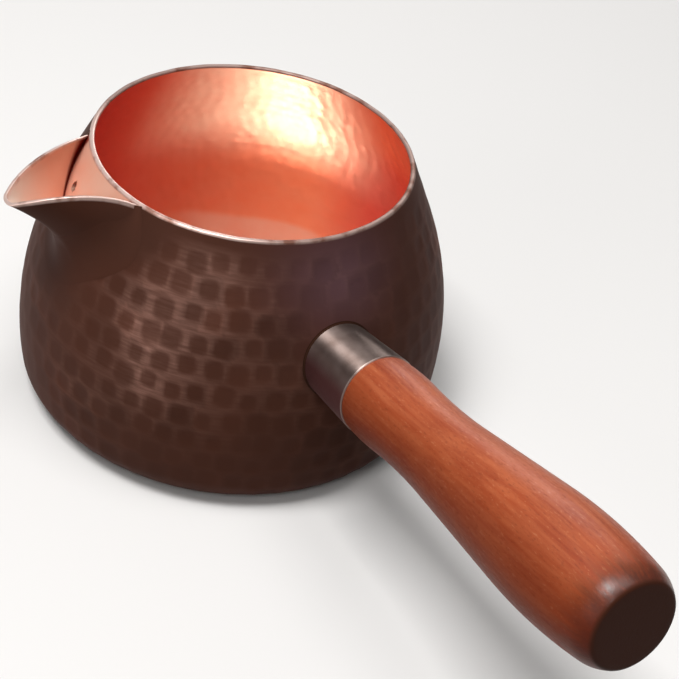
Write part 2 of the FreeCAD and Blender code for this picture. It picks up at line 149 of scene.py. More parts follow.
def corner_run(before: np.ndarray, corner: np.ndarray, after: np.ndarray, radius: float) -> np.ndarray:
    """Rounds a corner of an outline.

    Args:
        before: a point on the edge that leads to the corner.
        corner: the sharp corner.
        after: a point on the edge that leaves it.
        radius: the round's radius.

    Returns:
        Six points from the first touch to the last.
    """
    back = unit(before - corner)
    onward = unit(after - corner)
    half = math.acos(float(np.clip(back @ onward, -1, 1))) / 2
    centre = corner + unit(back + onward) * radius / math.sin(half)
    first = corner + back * radius / math.tan(half)
    last = corner + onward * radius / math.tan(half)
    shares = np.linspace(0, 1, 6)[:, None]
    return centre + radius * unit((first - centre) * (1 - shares) + (last - centre) * shares)


def join_runs(*runs: np.ndarray) -> np.ndarray:
    """Joins stretches of an outline and drops points that repeat."""
    points = np.concatenate(runs)
    apart = np.linalg.norm(np.diff(points, axis=0), axis=1) > SAME_PLACE
    return points[np.concatenate(([True], apart))]


def begin(name: str, **grid: float) -> Piece:
    """Adds a flat grid as the start of a piece, with everything else deselected.

    Args:
        name: the piece's name.
        grid: settings of the primitive.

    Returns:
        The new object, in object mode.
    """
    bpy.ops.object.select_all(action="DESELECT")
    bpy.ops.mesh.primitive_grid_add(**grid)
    piece = bpy.context.active_object
    piece.name = piece.data.name = name
    return piece


def close_up(piece: Piece) -> None:
    """Merges a piece's doubled points, turns its faces outwards and keeps its sharp edges crisp."""
    bpy.ops.object.mode_set(mode="EDIT")
    bpy.ops.mesh.select_all(action="SELECT")
    bpy.ops.mesh.remove_doubles(threshold=SAME_PLACE)
    bpy.ops.mesh.normals_make_consistent(inside=False)
    bpy.ops.mesh.select_all(action="DESELECT")
    bpy.ops.mesh.select_mode(type="EDGE")
    bpy.ops.mesh.edges_select_sharp(sharpness=SHARP_EDGE)
    bpy.ops.mesh.mark_sharp()
    bpy.ops.mesh.select_mode(type="VERT")
    bpy.ops.object.mode_set(mode="OBJECT")
    bpy.ops.object.shade_smooth(keep_sharp_edges=True)
    log.debug("%s closed with %d points", piece.name, len(piece.data.vertices))


def spin_outline(name: str, outline: np.ndarray, centre: Vector, axis: Vector, steps: int) -> Piece:
    """Draws half a section point by point and spins it into a turned form.

    Args:
        name: the piece's name.
        outline: points of the half section in the part's frame.
        centre: a point on the axis.
        axis: the axis' direction.
        steps: divisions of the full turn.

    Returns:
        The closed form.
    """
    points = [Vector(point) * METRES for point in outline]
    piece = begin(name, size=METRES, x_subdivisions=1, y_subdivisions=1)
    bpy.ops.object.mode_set(mode="EDIT")
    bpy.ops.mesh.select_all(action="SELECT")
    bpy.ops.mesh.merge(type="CENTER")
    bpy.ops.transform.translate(value=points[0])
    for last, new in zip(points, points[1:]):
        bpy.ops.mesh.extrude_vertices_move(TRANSFORM_OT_translate={"value": new - last})
    bpy.ops.mesh.select_all(action="SELECT")
    bpy.ops.mesh.spin(steps=steps, angle=math.tau, center=centre * METRES, axis=axis)
    bpy.ops.object.mode_set(mode="OBJECT")
    close_up(piece)
    return piece


def skin_grid(name: str, places: np.ndarray, marks: dict[str, np.ndarray]) -> Piece:
    """Lays a grid over rows of places and closes it where places coincide.

    Args:
        name: the piece's name.
        places: rows, columns and the three coordinates of each place.
        marks: a value per place for each attribute that the finish reads.

    Returns:
        The piece.
    """
    rows, columns = places.shape[:2]
    piece = begin(name, x_subdivisions=columns - 1, y_subdivisions=rows - 1)
    write_places(piece, places.reshape(-1, 3))
    for attribute, values in marks.items():
        write_mark(piece, attribute, values.reshape(-1))
    close_up(piece)
    return piece


def read_places(piece: Piece) -> np.ndarray:
    """Returns a piece's points in millimetres."""
    flat = np.empty(len(piece.data.vertices) * 3, np.float32)
    piece.data.vertices.foreach_get("co", flat)
    return flat.reshape(-1, 3).astype(float) / METRES


def write_places(piece: Piece, places: np.ndarray) -> None:
    """Moves a piece's points to places in millimetres."""
    piece.data.vertices.foreach_set("co", (places * METRES).astype(np.float32).ravel())
    piece.data.update()


def write_mark(piece: Piece, attribute: str, values: np.ndarray) -> None:
    """Gives each of a piece's points a value that its finish reads."""
    attributes = piece.data.attributes
    mark = attributes.get(attribute) or attributes.new(attribute, "FLOAT", "POINT")
    mark.data.foreach_set("value", np.asarray(values, np.float32))


def copper_marks(shape: tuple[int, int], **values: np.ndarray | float) -> dict[str, np.ndarray]:
    """Fills in the marks that the copper's finish reads, at nothing where no value is given."""
    return {mark: np.zeros(shape) + values.get(mark, 0.0) for mark in COPPER_MARKS}


def settle(piece: Piece, node: str, material: bpy.types.Material) -> None:
    """Dresses a finished piece and lets it stand for its solid.

    Args:
        piece: the finished piece.
        node: the solid that it stands for.
        material: its finish.
    """
    piece.data.materials.clear()
    piece.data.materials.append(material)
    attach(piece, BODY)
    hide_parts(node)
    triangles = sum(len(face.vertices) - 2 for face in piece.data.polygons)
    log.info("%s: %d triangles, in place of %s", piece.name, triangles, node)


def feed(tree: bpy.types.NodeTree, node: bpy.types.Node, inputs: dict | tuple) -> None:
    """Sets a node's inputs.

    Args:
        tree: the node's tree.
        node: the node.
        inputs: a value, a hex colour or another node's output for each input, by name or in order.
    """
    for place, value in inputs.items() if isinstance(inputs, dict) else enumerate(inputs):
        if isinstance(value, bpy.types.NodeSocket):
            tree.links.new(value, node.inputs[place])
        else:
            node.inputs[place].default_value = linear(value) if isinstance(value, str) else value


def add_node(tree: bpy.types.NodeTree, kind: str, inputs: dict | tuple = (), out: int | str = 0,
             **settings: object) -> bpy.types.NodeSocket:
    """Adds a node to a finish.

    Args:
        tree: the finish's node tree.
        kind: the node's type, less the words that they all start with.
        inputs: what its inputs are set to.
        out: the output that is wanted, by name or place.
        settings: the node's own properties.

    Returns:
        That output.
    """
    node = tree.nodes.new("ShaderNode" + kind)
    for name, value in settings.items():
        setattr(node, name, value)
    feed(tree, node, inputs)
    return node.outputs[out]


def new_finish(name: str) -> tuple[bpy.types.Material, Callable, Callable]:
    """Starts a finish and returns it, what adds its nodes, and what sets its shader's inputs."""
    material = bpy.data.materials.new(name)
    material.use_nodes = True
    tree = material.node_tree
    return material, partial(add_node, tree), partial(feed, tree, tree.nodes["Principled BSDF"])


@dataclass(frozen=True)
class RaisedCopper:
    """Hammered copper: brown patina outside, bare and pickled inside, burnished along its edges.

    The liver-brown patina is thin, so it keeps a satin metal sheen. It is darkest in the flats that the
    hammer left and rubbed paler and pinker on the ridges between them; in slanting bands a painted sheen
    pales ridges and flats further. Bare copper throws its own red light back and forth inside the bowl and
    turns deeper there, and its colour also carries painted deep-red shade and painted highlights.
    """

    name: str = "copper_hammered_patinated"
    flat_brown: str = "452D25"
    flat_red: str = "4F2C20"
    ridge: str = "8C675B"
    bloom: str = "5C4145"
    bare_deep: str = "FD9468"
    bare_bright: str = "FEB08A"
    # Deep red painted as shade inside the bowl
    flush: str = "D83C42"
    # Pale pickled copper, also used to paint highlights and reflections
    pickled: str = "F9DECB"
    # Painted shade, with some dirt, in the crevice behind the beak
    crevice: str = "8A2618"
    edge_pale: str = "EDCFC4"
    edge_worn: str = "A87868"
    glance: str = "B98E78"
    mottle_size: float = 22.0
    scuff_size: float = 7.0
    scuff_flatness: float = 9.0
    tint_size: float = 9.0
    wear_size: float = 5.0
    grit_size: float = 0.8
    grit_depth: float = 0.1
    edge_metal: float = 0.55
    edge_rough: float = 0.34
    patina_specular: float = 0.15

    def material(self) -> bpy.types.Material:
        """Builds the finish from the marks that the smith's pieces carry."""
        material, add, dress = new_finish(self.name)
        place = add("TexCoord", out="Object")
        bare, ridge, tone, burnish, crevice, flush, matt, pickled, bloom = (
            add("Attribute", out="Fac", attribute_name=mark) for mark in COPPER_MARKS)
        mottle, blotch, wear, grit = (
            add("TexNoise", {"Vector": place, "Scale": per_metre(size), "Detail": detail})
            for size, detail in ((self.mottle_size, 3.0), (self.tint_size, 4.0),
                                 (self.wear_size, 5.0), (self.grit_size, 2.0)))

        # Patina: cloudy browns in the flats, paler ridges broken up by level scuffs; the ridge mark also carries
        # the slanting bands of painted sheen
        level = add("Mapping", {"Vector": place, "Scale": (1.0, 1.0, self.scuff_flatness)})
        scuffs = add("TexNoise", {"Vector": level, "Scale": per_metre(self.scuff_size), "Detail": 4.0})
        rubbed = add("MapRange", (scuffs, 0.35, 0.68, 0.45, 1.0))
        pale = add("Math", (ridge, rubbed), operation="MULTIPLY")
        patina = self.flat_brown
        for share, tint in ((mottle, self.flat_red), (bloom, self.bloom), (pale, self.ridge)):
            patina = add("Mix", {SHARE: share, FIRST: patina, SECOND: tint}, **COLOURS)
        shade = add("MapRange", (tone, 0.0, 1.0, 0.78, 1.18))
        toned = add("HueSaturation", {"Value": shade, "Color": patina})

        # Bare copper: blotches that the pickle left, painted deep-red shade near the spout and on one side, pale
        # pickle that also paints highlights, and painted shade with some dirt in the crevice behind the beak
        patchy = add("MapRange", (blotch, 0.35, 0.65, 0.88, 1.1))
        cleared = add("Math", (pickled, patchy), operation="MULTIPLY")
        copper = self.bare_deep
        for share, tint in ((blotch, self.bare_bright), (flush, self.flush), (cleared, self.pickled)):
            copper = add("Mix", {SHARE: share, FIRST: copper, SECOND: tint}, **COLOURS)
        lightness = add("MapRange", (tone, 0.0, 1.0, 0.5, 1.5))
        shone = add("HueSaturation", {"Value": lightness, "Color": copper})
        inside = add("Mix", {SHARE: crevice, FIRST: shone, SECOND: self.crevice}, **COLOURS)

        # Burnished edges: bright where they are rubbed, brown where the patina holds on
        held = add("MapRange", (wear, 0.5, 0.68, 0.0, 1.0))
        edge = add("Mix", {SHARE: held, FIRST: self.edge_pale, SECOND: self.edge_worn}, **COLOURS)
        colour = toned
        for share, tint in ((bare, inside), (burnish, edge)):
            colour = add("Mix", {SHARE: share, FIRST: colour, SECOND: tint}, **COLOURS)

        # Scoured copper scatters light, patina lets a little of the metal through
        clean = add("Math", (bare, burnish), operation="MAXIMUM")
        sheen = add("MapRange", (pale, 0.0, 1.0, 0.22, 0.7))
        scoured = add("MapRange", (matt, 0.0, 1.0, 0.95, 0.4))
        clean_metal = add("Mix", {SHARE: burnish, "A": scoured, "B": self.edge_metal})
        metal = add("Mix", {SHARE: clean, "A": sheen, "B": clean_metal})
        satin = add("MapRange", (pale, 0.0, 1.0, 0.58, 0.42))
        gloss = add("MapRange", (blotch, 0.3, 0.7, 0.28, 0.3))
        polish = add("Math", (matt, 0.12, gloss), operation="MULTIPLY_ADD")
        blasted = add("MapRange", (matt, 0.82, 1.0, 0.0, 0.2))
        bright = add("Math", (polish, blasted), operation="ADD")
        filed = add("Mix", {SHARE: burnish, "A": bright, "B": self.edge_rough})
        rough = add("Mix", {SHARE: clean, "A": satin, "B": filed})
        glance = add("Mix", {SHARE: clean, FIRST: self.glance, SECOND: WHITE}, **COLOURS)
        bump = add("Bump", {"Height": grit, "Strength": 0.1, "Distance": self.grit_depth * METRES})
        dress({"Specular IOR Level": self.patina_specular, "Specular Tint": glance, "Base Color": colour,
               "Metallic": metal, "Roughness": rough, "Normal": bump})
        return material


@dataclass(frozen=True)
class BronzedSocket:
    """Rolled brass sheet, bronzed dark and turned on a mandrel: grey-violet with a soft gloss.

    The fine rings that turning left stretch each lamp into a bright line along the tube. Its mouth is
    rubbed bright where the wood was driven home, and painted brighter still on its upper side as light;
    the underside of the tube is painted darker as shade.
    """

    name: str = "brass_bronzed"
    dark: str = "837169"
    light: str = "9C8B84"
    worn: str = "D2BFB6"
    # Painted shade on the tube's underside
    smoked: str = "4C2C2B"
    ring_size: float = 0.45
    ring_depth: float = 0.06
    cloud_size: float = 5.0
    metallic: float = 0.9
    stretch: float = 0.95
    quarter_turn: float = 0.25
    tilt: float = 10.5

    def material(self) -> bpy.types.Material:
        """Builds the finish with its turning rings square to the handle."""
        material, add, dress = new_finish(self.name)
        lean = math.radians(self.tilt)
        place = add("TexCoord", out="Object")
        turned = add("Mapping", {"Vector": place, "Rotation": (0.0, -lean, 0.0)}, vector_type="TEXTURE")
        axis = add("SeparateXYZ", (turned,))
        burnish, soot = (add("Attribute", out="Fac", attribute_name=mark) for mark in ("burnish", "soot"))
        rings = add("TexNoise", {"W": axis, "Scale": per_metre(self.ring_size), "Detail": 2.0},
                    noise_dimensions="1D")
        cloud = add("TexNoise", {"Vector": place, "Scale": per_metre(self.cloud_size), "Detail": 4.0})
        clouded = add("MapRange", (cloud, 0.3, 0.7))
        colour = self.dark
        # Painted shade darkens the tube's underside, and the rubbed lip is brightest on its upper side
        for share, tint in ((clouded, self.light), (soot, self.smoked), (burnish, self.worn)):
            colour = add("Mix", {SHARE: share, FIRST: colour, SECOND: tint}, **COLOURS)
        rough = add("MapRange", (cloud, 0.3, 0.7, 0.42, 0.5))
        facing = add("NewGeometry", out="Normal")
        groove = add("VectorMath", (facing, (math.cos(lean), 0.0, math.sin(lean))), operation="CROSS_PRODUCT")
        bump = add("Bump", {"Height": rings, "Strength": 0.3, "Distance": self.ring_depth * METRES})
        dress({"Metallic": self.metallic, "Anisotropic": self.stretch, "Anisotropic Rotation": self.quarter_turn,
               "Tangent": groove, "Base Color": colour, "Roughness": rough, "Normal": bump})
        return material


@dataclass(frozen=True)
class OiledHardwood:
    """Turned red hardwood, oiled: warm brown with long fibres, short dark pores and pale flecks.

    The end was sealed and darkened, so it goes to near black there. The side below the grip is painted
    darker as shade, and is duller there.
    """

    name: str = "hardwood_red_oiled"
    dark: str = "8C391F"
    middle: str = "AA502C"
    light: str = "C47048"
    pore: str = "6A2C15"
    fleck: str = "CE8A64"
    stain: str = "46251D"
    # Painted shade on the grip's lower side
    oil: str = "5E1F08"
    end: str = "43261C"
    fibre_size: float = 1.2
    fibre_stretch: float = 0.045
    figure_size: float = 9.0
    pore_size: float = 0.5
    pore_stretch: float = 0.3
    pore_depth: float = 0.12
    tilt: float = 10.5
    axis_height: float = 39.1
    stain_start: float = 175.5
    stain_end: float = 188.0
    stain_creep: float = 12.0
    face_start: float = 186.4
    face_end: float = 187.2
    sealed_rough: float = 0.27
    sealed_specular: float = 0.03

    def material(self) -> bpy.types.Material:
        """Builds the finish with its grain in line with the handle's axis."""
        material, add, dress = new_finish(self.name)
        turned = add("Mapping", {
            "Vector": add("TexCoord", out="Object"), "Location": (0.0, 0.0, self.axis_height * METRES),
            "Rotation": (0.0, -math.radians(self.tilt), 0.0)}, vector_type="TEXTURE")
        axis = add("SeparateXYZ", (turned,))
        palm = add("Attribute", out="Fac", attribute_name="palm")
        long_grain, short_grain = (add("Mapping", {"Vector": turned, "Scale": (stretch, 1.0, 1.0)})
                                   for stretch in (self.fibre_stretch, self.pore_stretch))
        fibre = add("TexNoise", {"Vector": long_grain, "Scale": per_metre(self.fibre_size), "Detail": 6.0})
        figure = add("TexNoise", {"Vector": short_grain, "Scale": per_metre(self.figure_size), "Detail": 3.0,
                                  "Distortion": 0.6})
        pores = add("TexNoise", {"Vector": short_grain, "Scale": per_metre(self.pore_size), "Detail": 2.0})
        broad = add("MapRange", (figure, 0.3, 0.7))
        strand = add("MapRange", (fibre, 0.36, 0.72, 0.0, 0.45))
        open_pore = add("MapRange", (pores, 0.58, 0.72, 0.0, 0.35))
        bright = add("MapRange", (pores, 0.38, 0.27, 0.0, 0.3))

        # The stain creeps in from the sealed end, further along some fibres than others
        reach = add("Math", (fibre, self.stain_creep * METRES, axis), operation="MULTIPLY_ADD")
        soaked = add("MapRange", (reach, (self.stain_start + self.stain_creep / 2) * METRES,
                                  (self.stain_end + self.stain_creep / 2) * METRES, 0.0, 0.92),
                     interpolation_type="SMOOTHSTEP")
        face = add("MapRange", (axis, self.face_start * METRES, self.face_end * METRES))
        # The palm mark lays painted shade on the grip's lower side
        colour = self.dark
        for share, tint in ((broad, self.middle), (strand, self.light), (open_pore, self.pore),
                            (bright, self.fleck), (soaked, self.stain), (palm, self.oil), (face, self.end)):
            colour = add("Mix", {SHARE: share, FIRST: colour, SECOND: tint}, **COLOURS)

        worn = add("MapRange", (pores, 0.3, 0.7, 0.37, 0.5))
        rough = add("Mix", {SHARE: soaked, "A": worn, "B": self.sealed_rough})
        waxed = add("MapRange", (palm, 0.0, 0.6, 0.34, 0.08))
        lustre = add("Mix", {SHARE: face, "A": waxed, "B": self.sealed_specular})
        bump = add("Bump", {"Height": pores, "Strength": 0.25, "Distance": self.pore_depth * METRES}, invert=True)
        dress({"Specular IOR Level": lustre, "Base Color": colour, "Roughness": rough, "Normal": bump})
        return material


@dataclass(frozen=True)
class PaleFloor:
    """Matt white studio board, which throws less light back up than it shows.

    The eye and the metal see the white board. Matt surfaces get the light of a darker one, as they do
    from a board that is small.
    """

    name: str = "board_white_matt"
    shown: str = "E9E7E5"
    thrown: str = "5A4C44"
    rough: float = 0.9
    specular: float = 0.1

    def material(self) -> bpy.types.Material:
        """Builds the finish from what is seen of it and what it throws back."""
        material, add, dress = new_finish(self.name)
        seen = add("LightPath", out="Is Camera Ray")
        for ray in ("Is Glossy Ray", "Is Transmission Ray"):
            seen = add("Math", (seen, add("LightPath", out=ray)), operation="MAXIMUM")
        colour = add("Mix", {SHARE: seen, FIRST: self.thrown, SECOND: self.shown}, **COLOURS)
        dress({"Roughness": self.rough, "Specular IOR Level": self.specular, "Base Color": colour})
        return material


@dataclass(frozen=True)
class HammerWork:
    """Rows of blows that planish a turned wall, each a shallow rounded flat."""

    row_pitch: float
    blow_pitch: float
    face: Span
    depth: float
    squareness: float
    wander: float
    first_azimuth: float
    seed: int
    row_slip: float = 0.12
    twist: float = 0.2
    face_spread: float = 0.18
    force_spread: float = 0.35
    hollowness: float = 1.5
    fewest: int = 6

    def strike(self, along: np.ndarray, around: np.ndarray, girth: np.ndarray) -> tuple[np.ndarray, ...]:
        """Finds the nearest blow to each point of the wall.

        Args:
            along: distance down the wall from its first row.
            around: azimuth in radians.
            girth: radius of the wall at the point.

        Returns:
            How far each point is from the middle of its blow, where 1 is the edge of the flat, two
            numbers from 0 to 1 for that blow's own tone and weight, and the soft sum of all the dimples.
        """
        chance = np.random.default_rng(self.seed)
        order = np.argsort(along)
        rows = int(along.max() / self.row_pitch) + 3
        girths = np.interp(np.arange(rows) * self.row_pitch, along[order], girth[order])
        counts = np.maximum(self.fewest, np.round(math.tau * girths / self.blow_pitch)).astype(int)
        table = chance.uniform(-1, 1, (6, rows, counts.max()))
        starts = chance.uniform(-self.row_slip, self.row_slip, rows)
        nearest = np.full(along.shape, np.inf)
        tone, weight, dimples = np.zeros((3, *along.shape))
        for row_step in (-1, 0, 1):
            row = np.clip(np.round(along / self.row_pitch).astype(int) + row_step, 0, rows - 1)
            count = counts[row]
            start = self.first_azimuth + (row % 2 * 0.5 + starts[row]) * math.tau / count
            turns = (around - start) * count / math.tau
            for blow_step in (-1, 0, 1):
                blow = np.round(turns).astype(int) + blow_step
                side, lift, turn, size, shade, force = table[:, row, np.mod(blow, count)]
                across = (turns - blow) * math.tau / count * girth - side * self.wander
                down = along - row * self.row_pitch - lift * self.wander
                lean = turn * self.twist
                wide = np.abs(across * np.cos(lean) - down * np.sin(lean)) / self.face[0]
                tall = np.abs(across * np.sin(lean) + down * np.cos(lean)) / self.face[1]
                reach = (wide ** self.squareness + tall ** self.squareness) ** (1 / self.squareness)
                reach /= 1 + self.face_spread * size
                hit = 1 - self.force_spread + self.force_spread * force
                dimples += hit * np.exp(-self.hollowness * reach ** 2)
                closer = reach < nearest
                nearest = np.where(closer, reach, nearest)
                tone = np.where(closer, shade / 2 + 0.5, tone)
                weight = np.where(closer, force / 2 + 0.5, weight)
        return nearest, tone, weight, dimples


@dataclass
class SpunWall:
    """The points of the spun bowl, and where each of them lies on it."""

    places: np.ndarray
    around: np.ndarray
    girth: np.ndarray
    outward: np.ndarray
    zones: np.ndarray
    below_rim: np.ndarray
    clear: np.ndarray

    @property
    def height(self) -> np.ndarray:
        """The points' heights above the base."""
        return self.places[:, 2]

    def on(self, zone: Zone) -> np.ndarray:
        """Tells which points are in a zone."""
        return self.zones == zone.name


@dataclass
class Bowl:
    """The bowl, raised from one sheet of copper and planished all over.

    Spans are the heights, distances or angles over which a change comes in.
    """

    finish: RaisedCopper
    rim_radius: float = 46.0
    height: float = 82.0
    sheet: float = 1.4
    rim_round: float = 0.5
    shoulder_angle: float = 25.0
    shoulder_length: float = 20.0
    belly_arc: float = 97.0
    corner_arc: float = 11.0
    turn_steps: int = 432
    outer_steps: Span = (0.9, 9.0)
    inner_steps: Span = (1.0, 3.0)
    fine_steps: Span = (0.1, 100.0)
    outside_work: HammerWork = HammerWork(
        row_pitch=7.4, blow_pitch=7.0, face=(2.75, 3.0), depth=0.24, squareness=3.4, wander=0.85,
        first_azimuth=-0.545, seed=11)
    inside_work: HammerWork = HammerWork(
        row_pitch=3.8, blow_pitch=4.0, face=(1.9, 1.9), depth=0.085, squareness=2.0, wander=0.7,
        first_azimuth=0.085, seed=5)
    skin_sink: float = 0.02
    plain_rim: Span = (1.5, 7.0)
    plain_spout: Span = (5.0, 20.0)
    plain_foot: Span = (1.0, 6.0)
    flat_edge: Span = (0.5, 1.2)
    drifts: tuple[Place, ...] = ((2, 1.0, 0.53), (5, -2.1, 2.28), (9, 3.2, 3.94), (4, 2.7, 4.56))
    drift_height: float = 25.0
    heavy_azimuth: float = 105.0
    heavy_gain: float = 1.5
    deepest_overlap: float = 1.4
    plain_inner_rim: Span = (0.5, 4.0)
    plain_floor: Span = (3.0, 12.0)
    rim_waves: tuple[Span, ...] = ((3, 0.75), (7, 2.71), (13, 2.2), (29, 5.94))
    rim_dip: float = 0.22
    rim_dip_reach: float = 5.0
    # Slanting bands of painted sheen on the patina's ridges and flats
    bands: int = 3
    band_azimuth: float = 42.0
    band_height: float = 77.0
    band_lean: float = 0.38
    band_narrowness: float = 3.2
    band_rise: Span = (18.0, 40.0)
    least_rub: float = 0.12
    flat_rub: float = 0.3
    ridge_edge: Span = (0.72, 1.15)
    # Painted shade: the patina is darkened towards the foot and near the beak
    foot_smoke: Span = (6.0, 48.0)
    spout_smoke: Span = (0.0, 16.0)
    bloom_azimuth: float = 2.0
    bloom_height: float = 72.0
    bloom_size: Span = (16.0, 13.0)
    rubbed_rim_azimuth: float = -80.0
    spout_flush: Span = (0.6, 2.5)
    side_flush: Span = (0.35, 0.85)
    side_flush_azimuth: float = 85.0
    shine_azimuth: float = 145.0
    dregs_height: float = 16.0
    floor_height: Span = (2.0, 8.0)
    trough_tone: float = 0.32

    def wall(self, inset: float, step: float, base_step: float) -> np.ndarray:
        """Draws half a section of the wall's skin from the middle of the base to the rim.

        Args:
            inset: depth of the skin below the outer face.
            step: the longest distance between points up the wall.
            base_step: the same across the base.

        Returns:
            One row per point, radius and height.
        """
        lean = math.radians(self.shoulder_angle)
        slope = np.array((math.sin(lean), -math.cos(lean)))
        outward = np.array((math.cos(lean), math.sin(lean)))
        rim = np.array((self.rim_radius, self.height))
        shoulder = rim + slope * self.shoulder_length
        belly = shoulder - outward * self.belly_arc
        drop = math.asin((belly[1] - self.corner_arc) / (self.belly_arc - self.corner_arc))
        corner = (belly[0] + (self.belly_arc - self.corner_arc) * math.cos(drop), self.corner_arc)
        return join_runs(
            line_run((0, inset), (corner[0], inset), base_step),
            arc_run(corner, self.corner_arc - inset, -math.pi / 2, -drop, step),
            arc_run(belly, self.belly_arc - inset, -drop, lean, step),
            line_run(shoulder - outward * inset, rim - np.array((inset / math.cos(lean), 0)), step))

    def radius_at(self, height: np.ndarray, sink: float = 0.0) -> np.ndarray:
        """Returns the outer radius at heights, less a depth into the wall."""
        wall = self.wall(0, *self.fine_steps)[1:]
        return np.interp(height, wall[:, 1], wall[:, 0]) - sink

    def normal_at(self, places: np.ndarray) -> np.ndarray:
        """Returns the outward directions of the outer wall beside places on it."""
        reach = 0.05
        rise = (self.radius_at(places[..., 2] + reach) - self.radius_at(places[..., 2] - reach)) / (2 * reach)
        return unit(np.concatenate((unit(places[..., :2]), -rise[..., None]), axis=-1))

    def seat(self, places: np.ndarray) -> np.ndarray:
        """Moves places level onto the outer wall."""
        seated = places.copy()
        seated[:, :2] *= (self.radius_at(places[:, 2]) / np.hypot(places[:, 0], places[:, 1]))[:, None]
        return seated

    def section(self) -> tuple[np.ndarray, list[Zone]]:
        """Draws the whole half section, up the outside, over the burnished rim and down the inside."""
        outer = self.wall(0, *self.outer_steps)
        inner = self.wall(self.sheet, *self.inner_steps)[::-1]
        lip = corner_run(outer[-2], outer[-1], inner[0], self.rim_round)
        brim = corner_run(outer[-1], inner[0], inner[1], self.rim_round)
        rim = join_runs(lip, brim)
        outline = join_runs(outer[:-1], rim, inner[1:])
        zones = [Zone.OUTSIDE] * (len(outer) - 1) + [Zone.RIM] * len(rim)
        return outline, zones + [Zone.INSIDE] * (len(outline) - len(zones))

    def build(self, beak: Beak, holes: PourHoles) -> Piece:
        """Spins the bowl, hammers it and pierces the holes behind the beak.

        Args:
            beak: the spout, round which the wall is left smooth.
            holes: the pour holes.

        Returns:
            The finished bowl.
        """
        outline, _ = self.section()
        profile = np.column_stack((outline[:, 0], np.zeros(len(outline)), outline[:, 1]))
        piece = spin_outline("bowl_copper", profile, Vector((0, 0, 0)), Vector((0, 0, 1)), self.turn_steps)
        self.hammer(piece, beak)
        holes.pierce(piece)
        settle(piece, "bowl", self.finish.material())
        return piece

    def survey(self, piece: Piece, beak: Beak) -> SpunWall:
        """Finds where each point of the spun bowl lies.

        Args:
            piece: the spun bowl.
            beak: the spout.

        Returns:
            The points with their zones and distances.
        """
        outline, zones = self.section()
        places = read_places(piece)
        girth = np.hypot(places[:, 0], places[:, 1])
        gaps = (girth[:, None] - outline[None, :, 0]) ** 2 + (places[:, 2, None] - outline[None, :, 1]) ** 2
        index = np.argmin(gaps, axis=1)
        run = run_length(outline)
        slope = unit(np.gradient(outline, axis=0))
        outward = np.column_stack((slope[:, 1], -slope[:, 0]))
        names = np.array([zone.name for zone in zones])
        rim_run = run[names == Zone.RIM.name]
        inside = names[index] == Zone.INSIDE.name
        below_rim = np.where(inside, run[index] - rim_run[-1], rim_run[0] - run[index])
        return SpunWall(places, np.arctan2(places[:, 1], places[:, 0]), girth, outward[index], names[index],
                        below_rim, beak.clearance(places))

    def hammer(self, piece: Piece, beak: Beak) -> None:
        """Sinks the blows into both faces and marks where each finish shows.

        Args:
            piece: the spun bowl.
            beak: the spout.
        """
        wall = self.survey(piece, beak)
        around, height = wall.around, wall.height
        run = np.maximum(wall.below_rim, 0)
        near, tone, weight, _ = self.outside_work.strike(run, around, wall.girth)
        *_, dimples = self.inside_work.strike(run, around, wall.girth)
        drift = sum(np.sin(cycles * around + climb * height / self.drift_height + phase)
                    for cycles, climb, phase in self.drifts)
        fade = ease(*self.plain_rim, wall.below_rim) * ease(*self.plain_spout, wall.clear)
        fade *= ease(*self.plain_foot, height) * (0.4 + 0.6 * ease(-1.8, 1.4, drift))
        dish = self.outside_work.depth * (0.5 + 0.5 * weight) * (1 - ease(*self.flat_edge, near))
        heavy = 1 + self.heavy_gain * ease(-0.2, 0.8, np.cos(around - math.radians(self.heavy_azimuth)))
        inner_dish = self.inside_work.depth * heavy * np.minimum(dimples, self.deepest_overlap)
        inner_dish *= ease(*self.plain_inner_rim, wall.below_rim) * ease(*self.plain_floor, height)
        sink = np.where(wall.on(Zone.INSIDE), inner_dish, 0.0)
        sink = np.where(wall.on(Zone.OUTSIDE), self.skin_sink + dish * fade, sink)

        # The rim was filed by hand, so its height wanders a little below the true plane
        wave = sum(np.sin(cycles * around + phase) for cycles, phase in self.rim_waves) / 8
        dip = (0.5 + wave) * self.rim_dip * (1 - ease(0.0, self.rim_dip_reach, np.abs(wall.below_rim)))
        move = -wall.outward * sink[:, None]
        wall.places[:, :2] += np.column_stack((np.cos(around), np.sin(around))) * move[:, :1]
        wall.places[:, 2] += move[:, 1] - dip
        write_places(piece, wall.places)

        # The rim is paler round the spout side
        rubbed_rim = ease(0.45, 0.8, np.cos(around - math.radians(self.rubbed_rim_azimuth)))
        trough = wall.on(Zone.OUTSIDE) & (wall.clear < -beak.sheet * 0.6)
        coats = (
            (wall.on(Zone.OUTSIDE), self.outside_coat(wall, near, tone, fade, drift)),
            (wall.on(Zone.RIM), {"tone": 0.5, "burnish": 0.42 + 0.58 * rubbed_rim}),
            (wall.on(Zone.INSIDE), self.inside_coat(wall, beak, drift)),
            # The crevice mark paints shade, with some dirt, where the trough meets the wall
            (trough, {"bare": 1.0, "tone": self.trough_tone, "matt": 1.0, "pickled": 0.55,
                      "crevice": ease(-beak.sheet - 3.0, -beak.sheet - 1.4, wall.clear)}))
        for mark in COPPER_MARKS:
            values = np.zeros(len(around))
            for where, coat in coats:
                values = np.where(where, coat.get(mark, 0.0), values)
            write_mark(piece, mark, values)

    def outside_coat(self, wall: SpunWall, near: np.ndarray, tone: np.ndarray, fade: np.ndarray,
                     drift: np.ndarray) -> dict[str, np.ndarray]:
        """Works out the patina of the outer face.

        Args:
            wall: the bowl's points.
            near: distance from the middle of the nearest blow, where 1 is the edge of its flat.
            tone: that blow's own tone.
            fade: share of the hammer's depth that is left there.
            drift: a slow wander over the wall.

        Returns:
            The marks that the patina sets.
        """
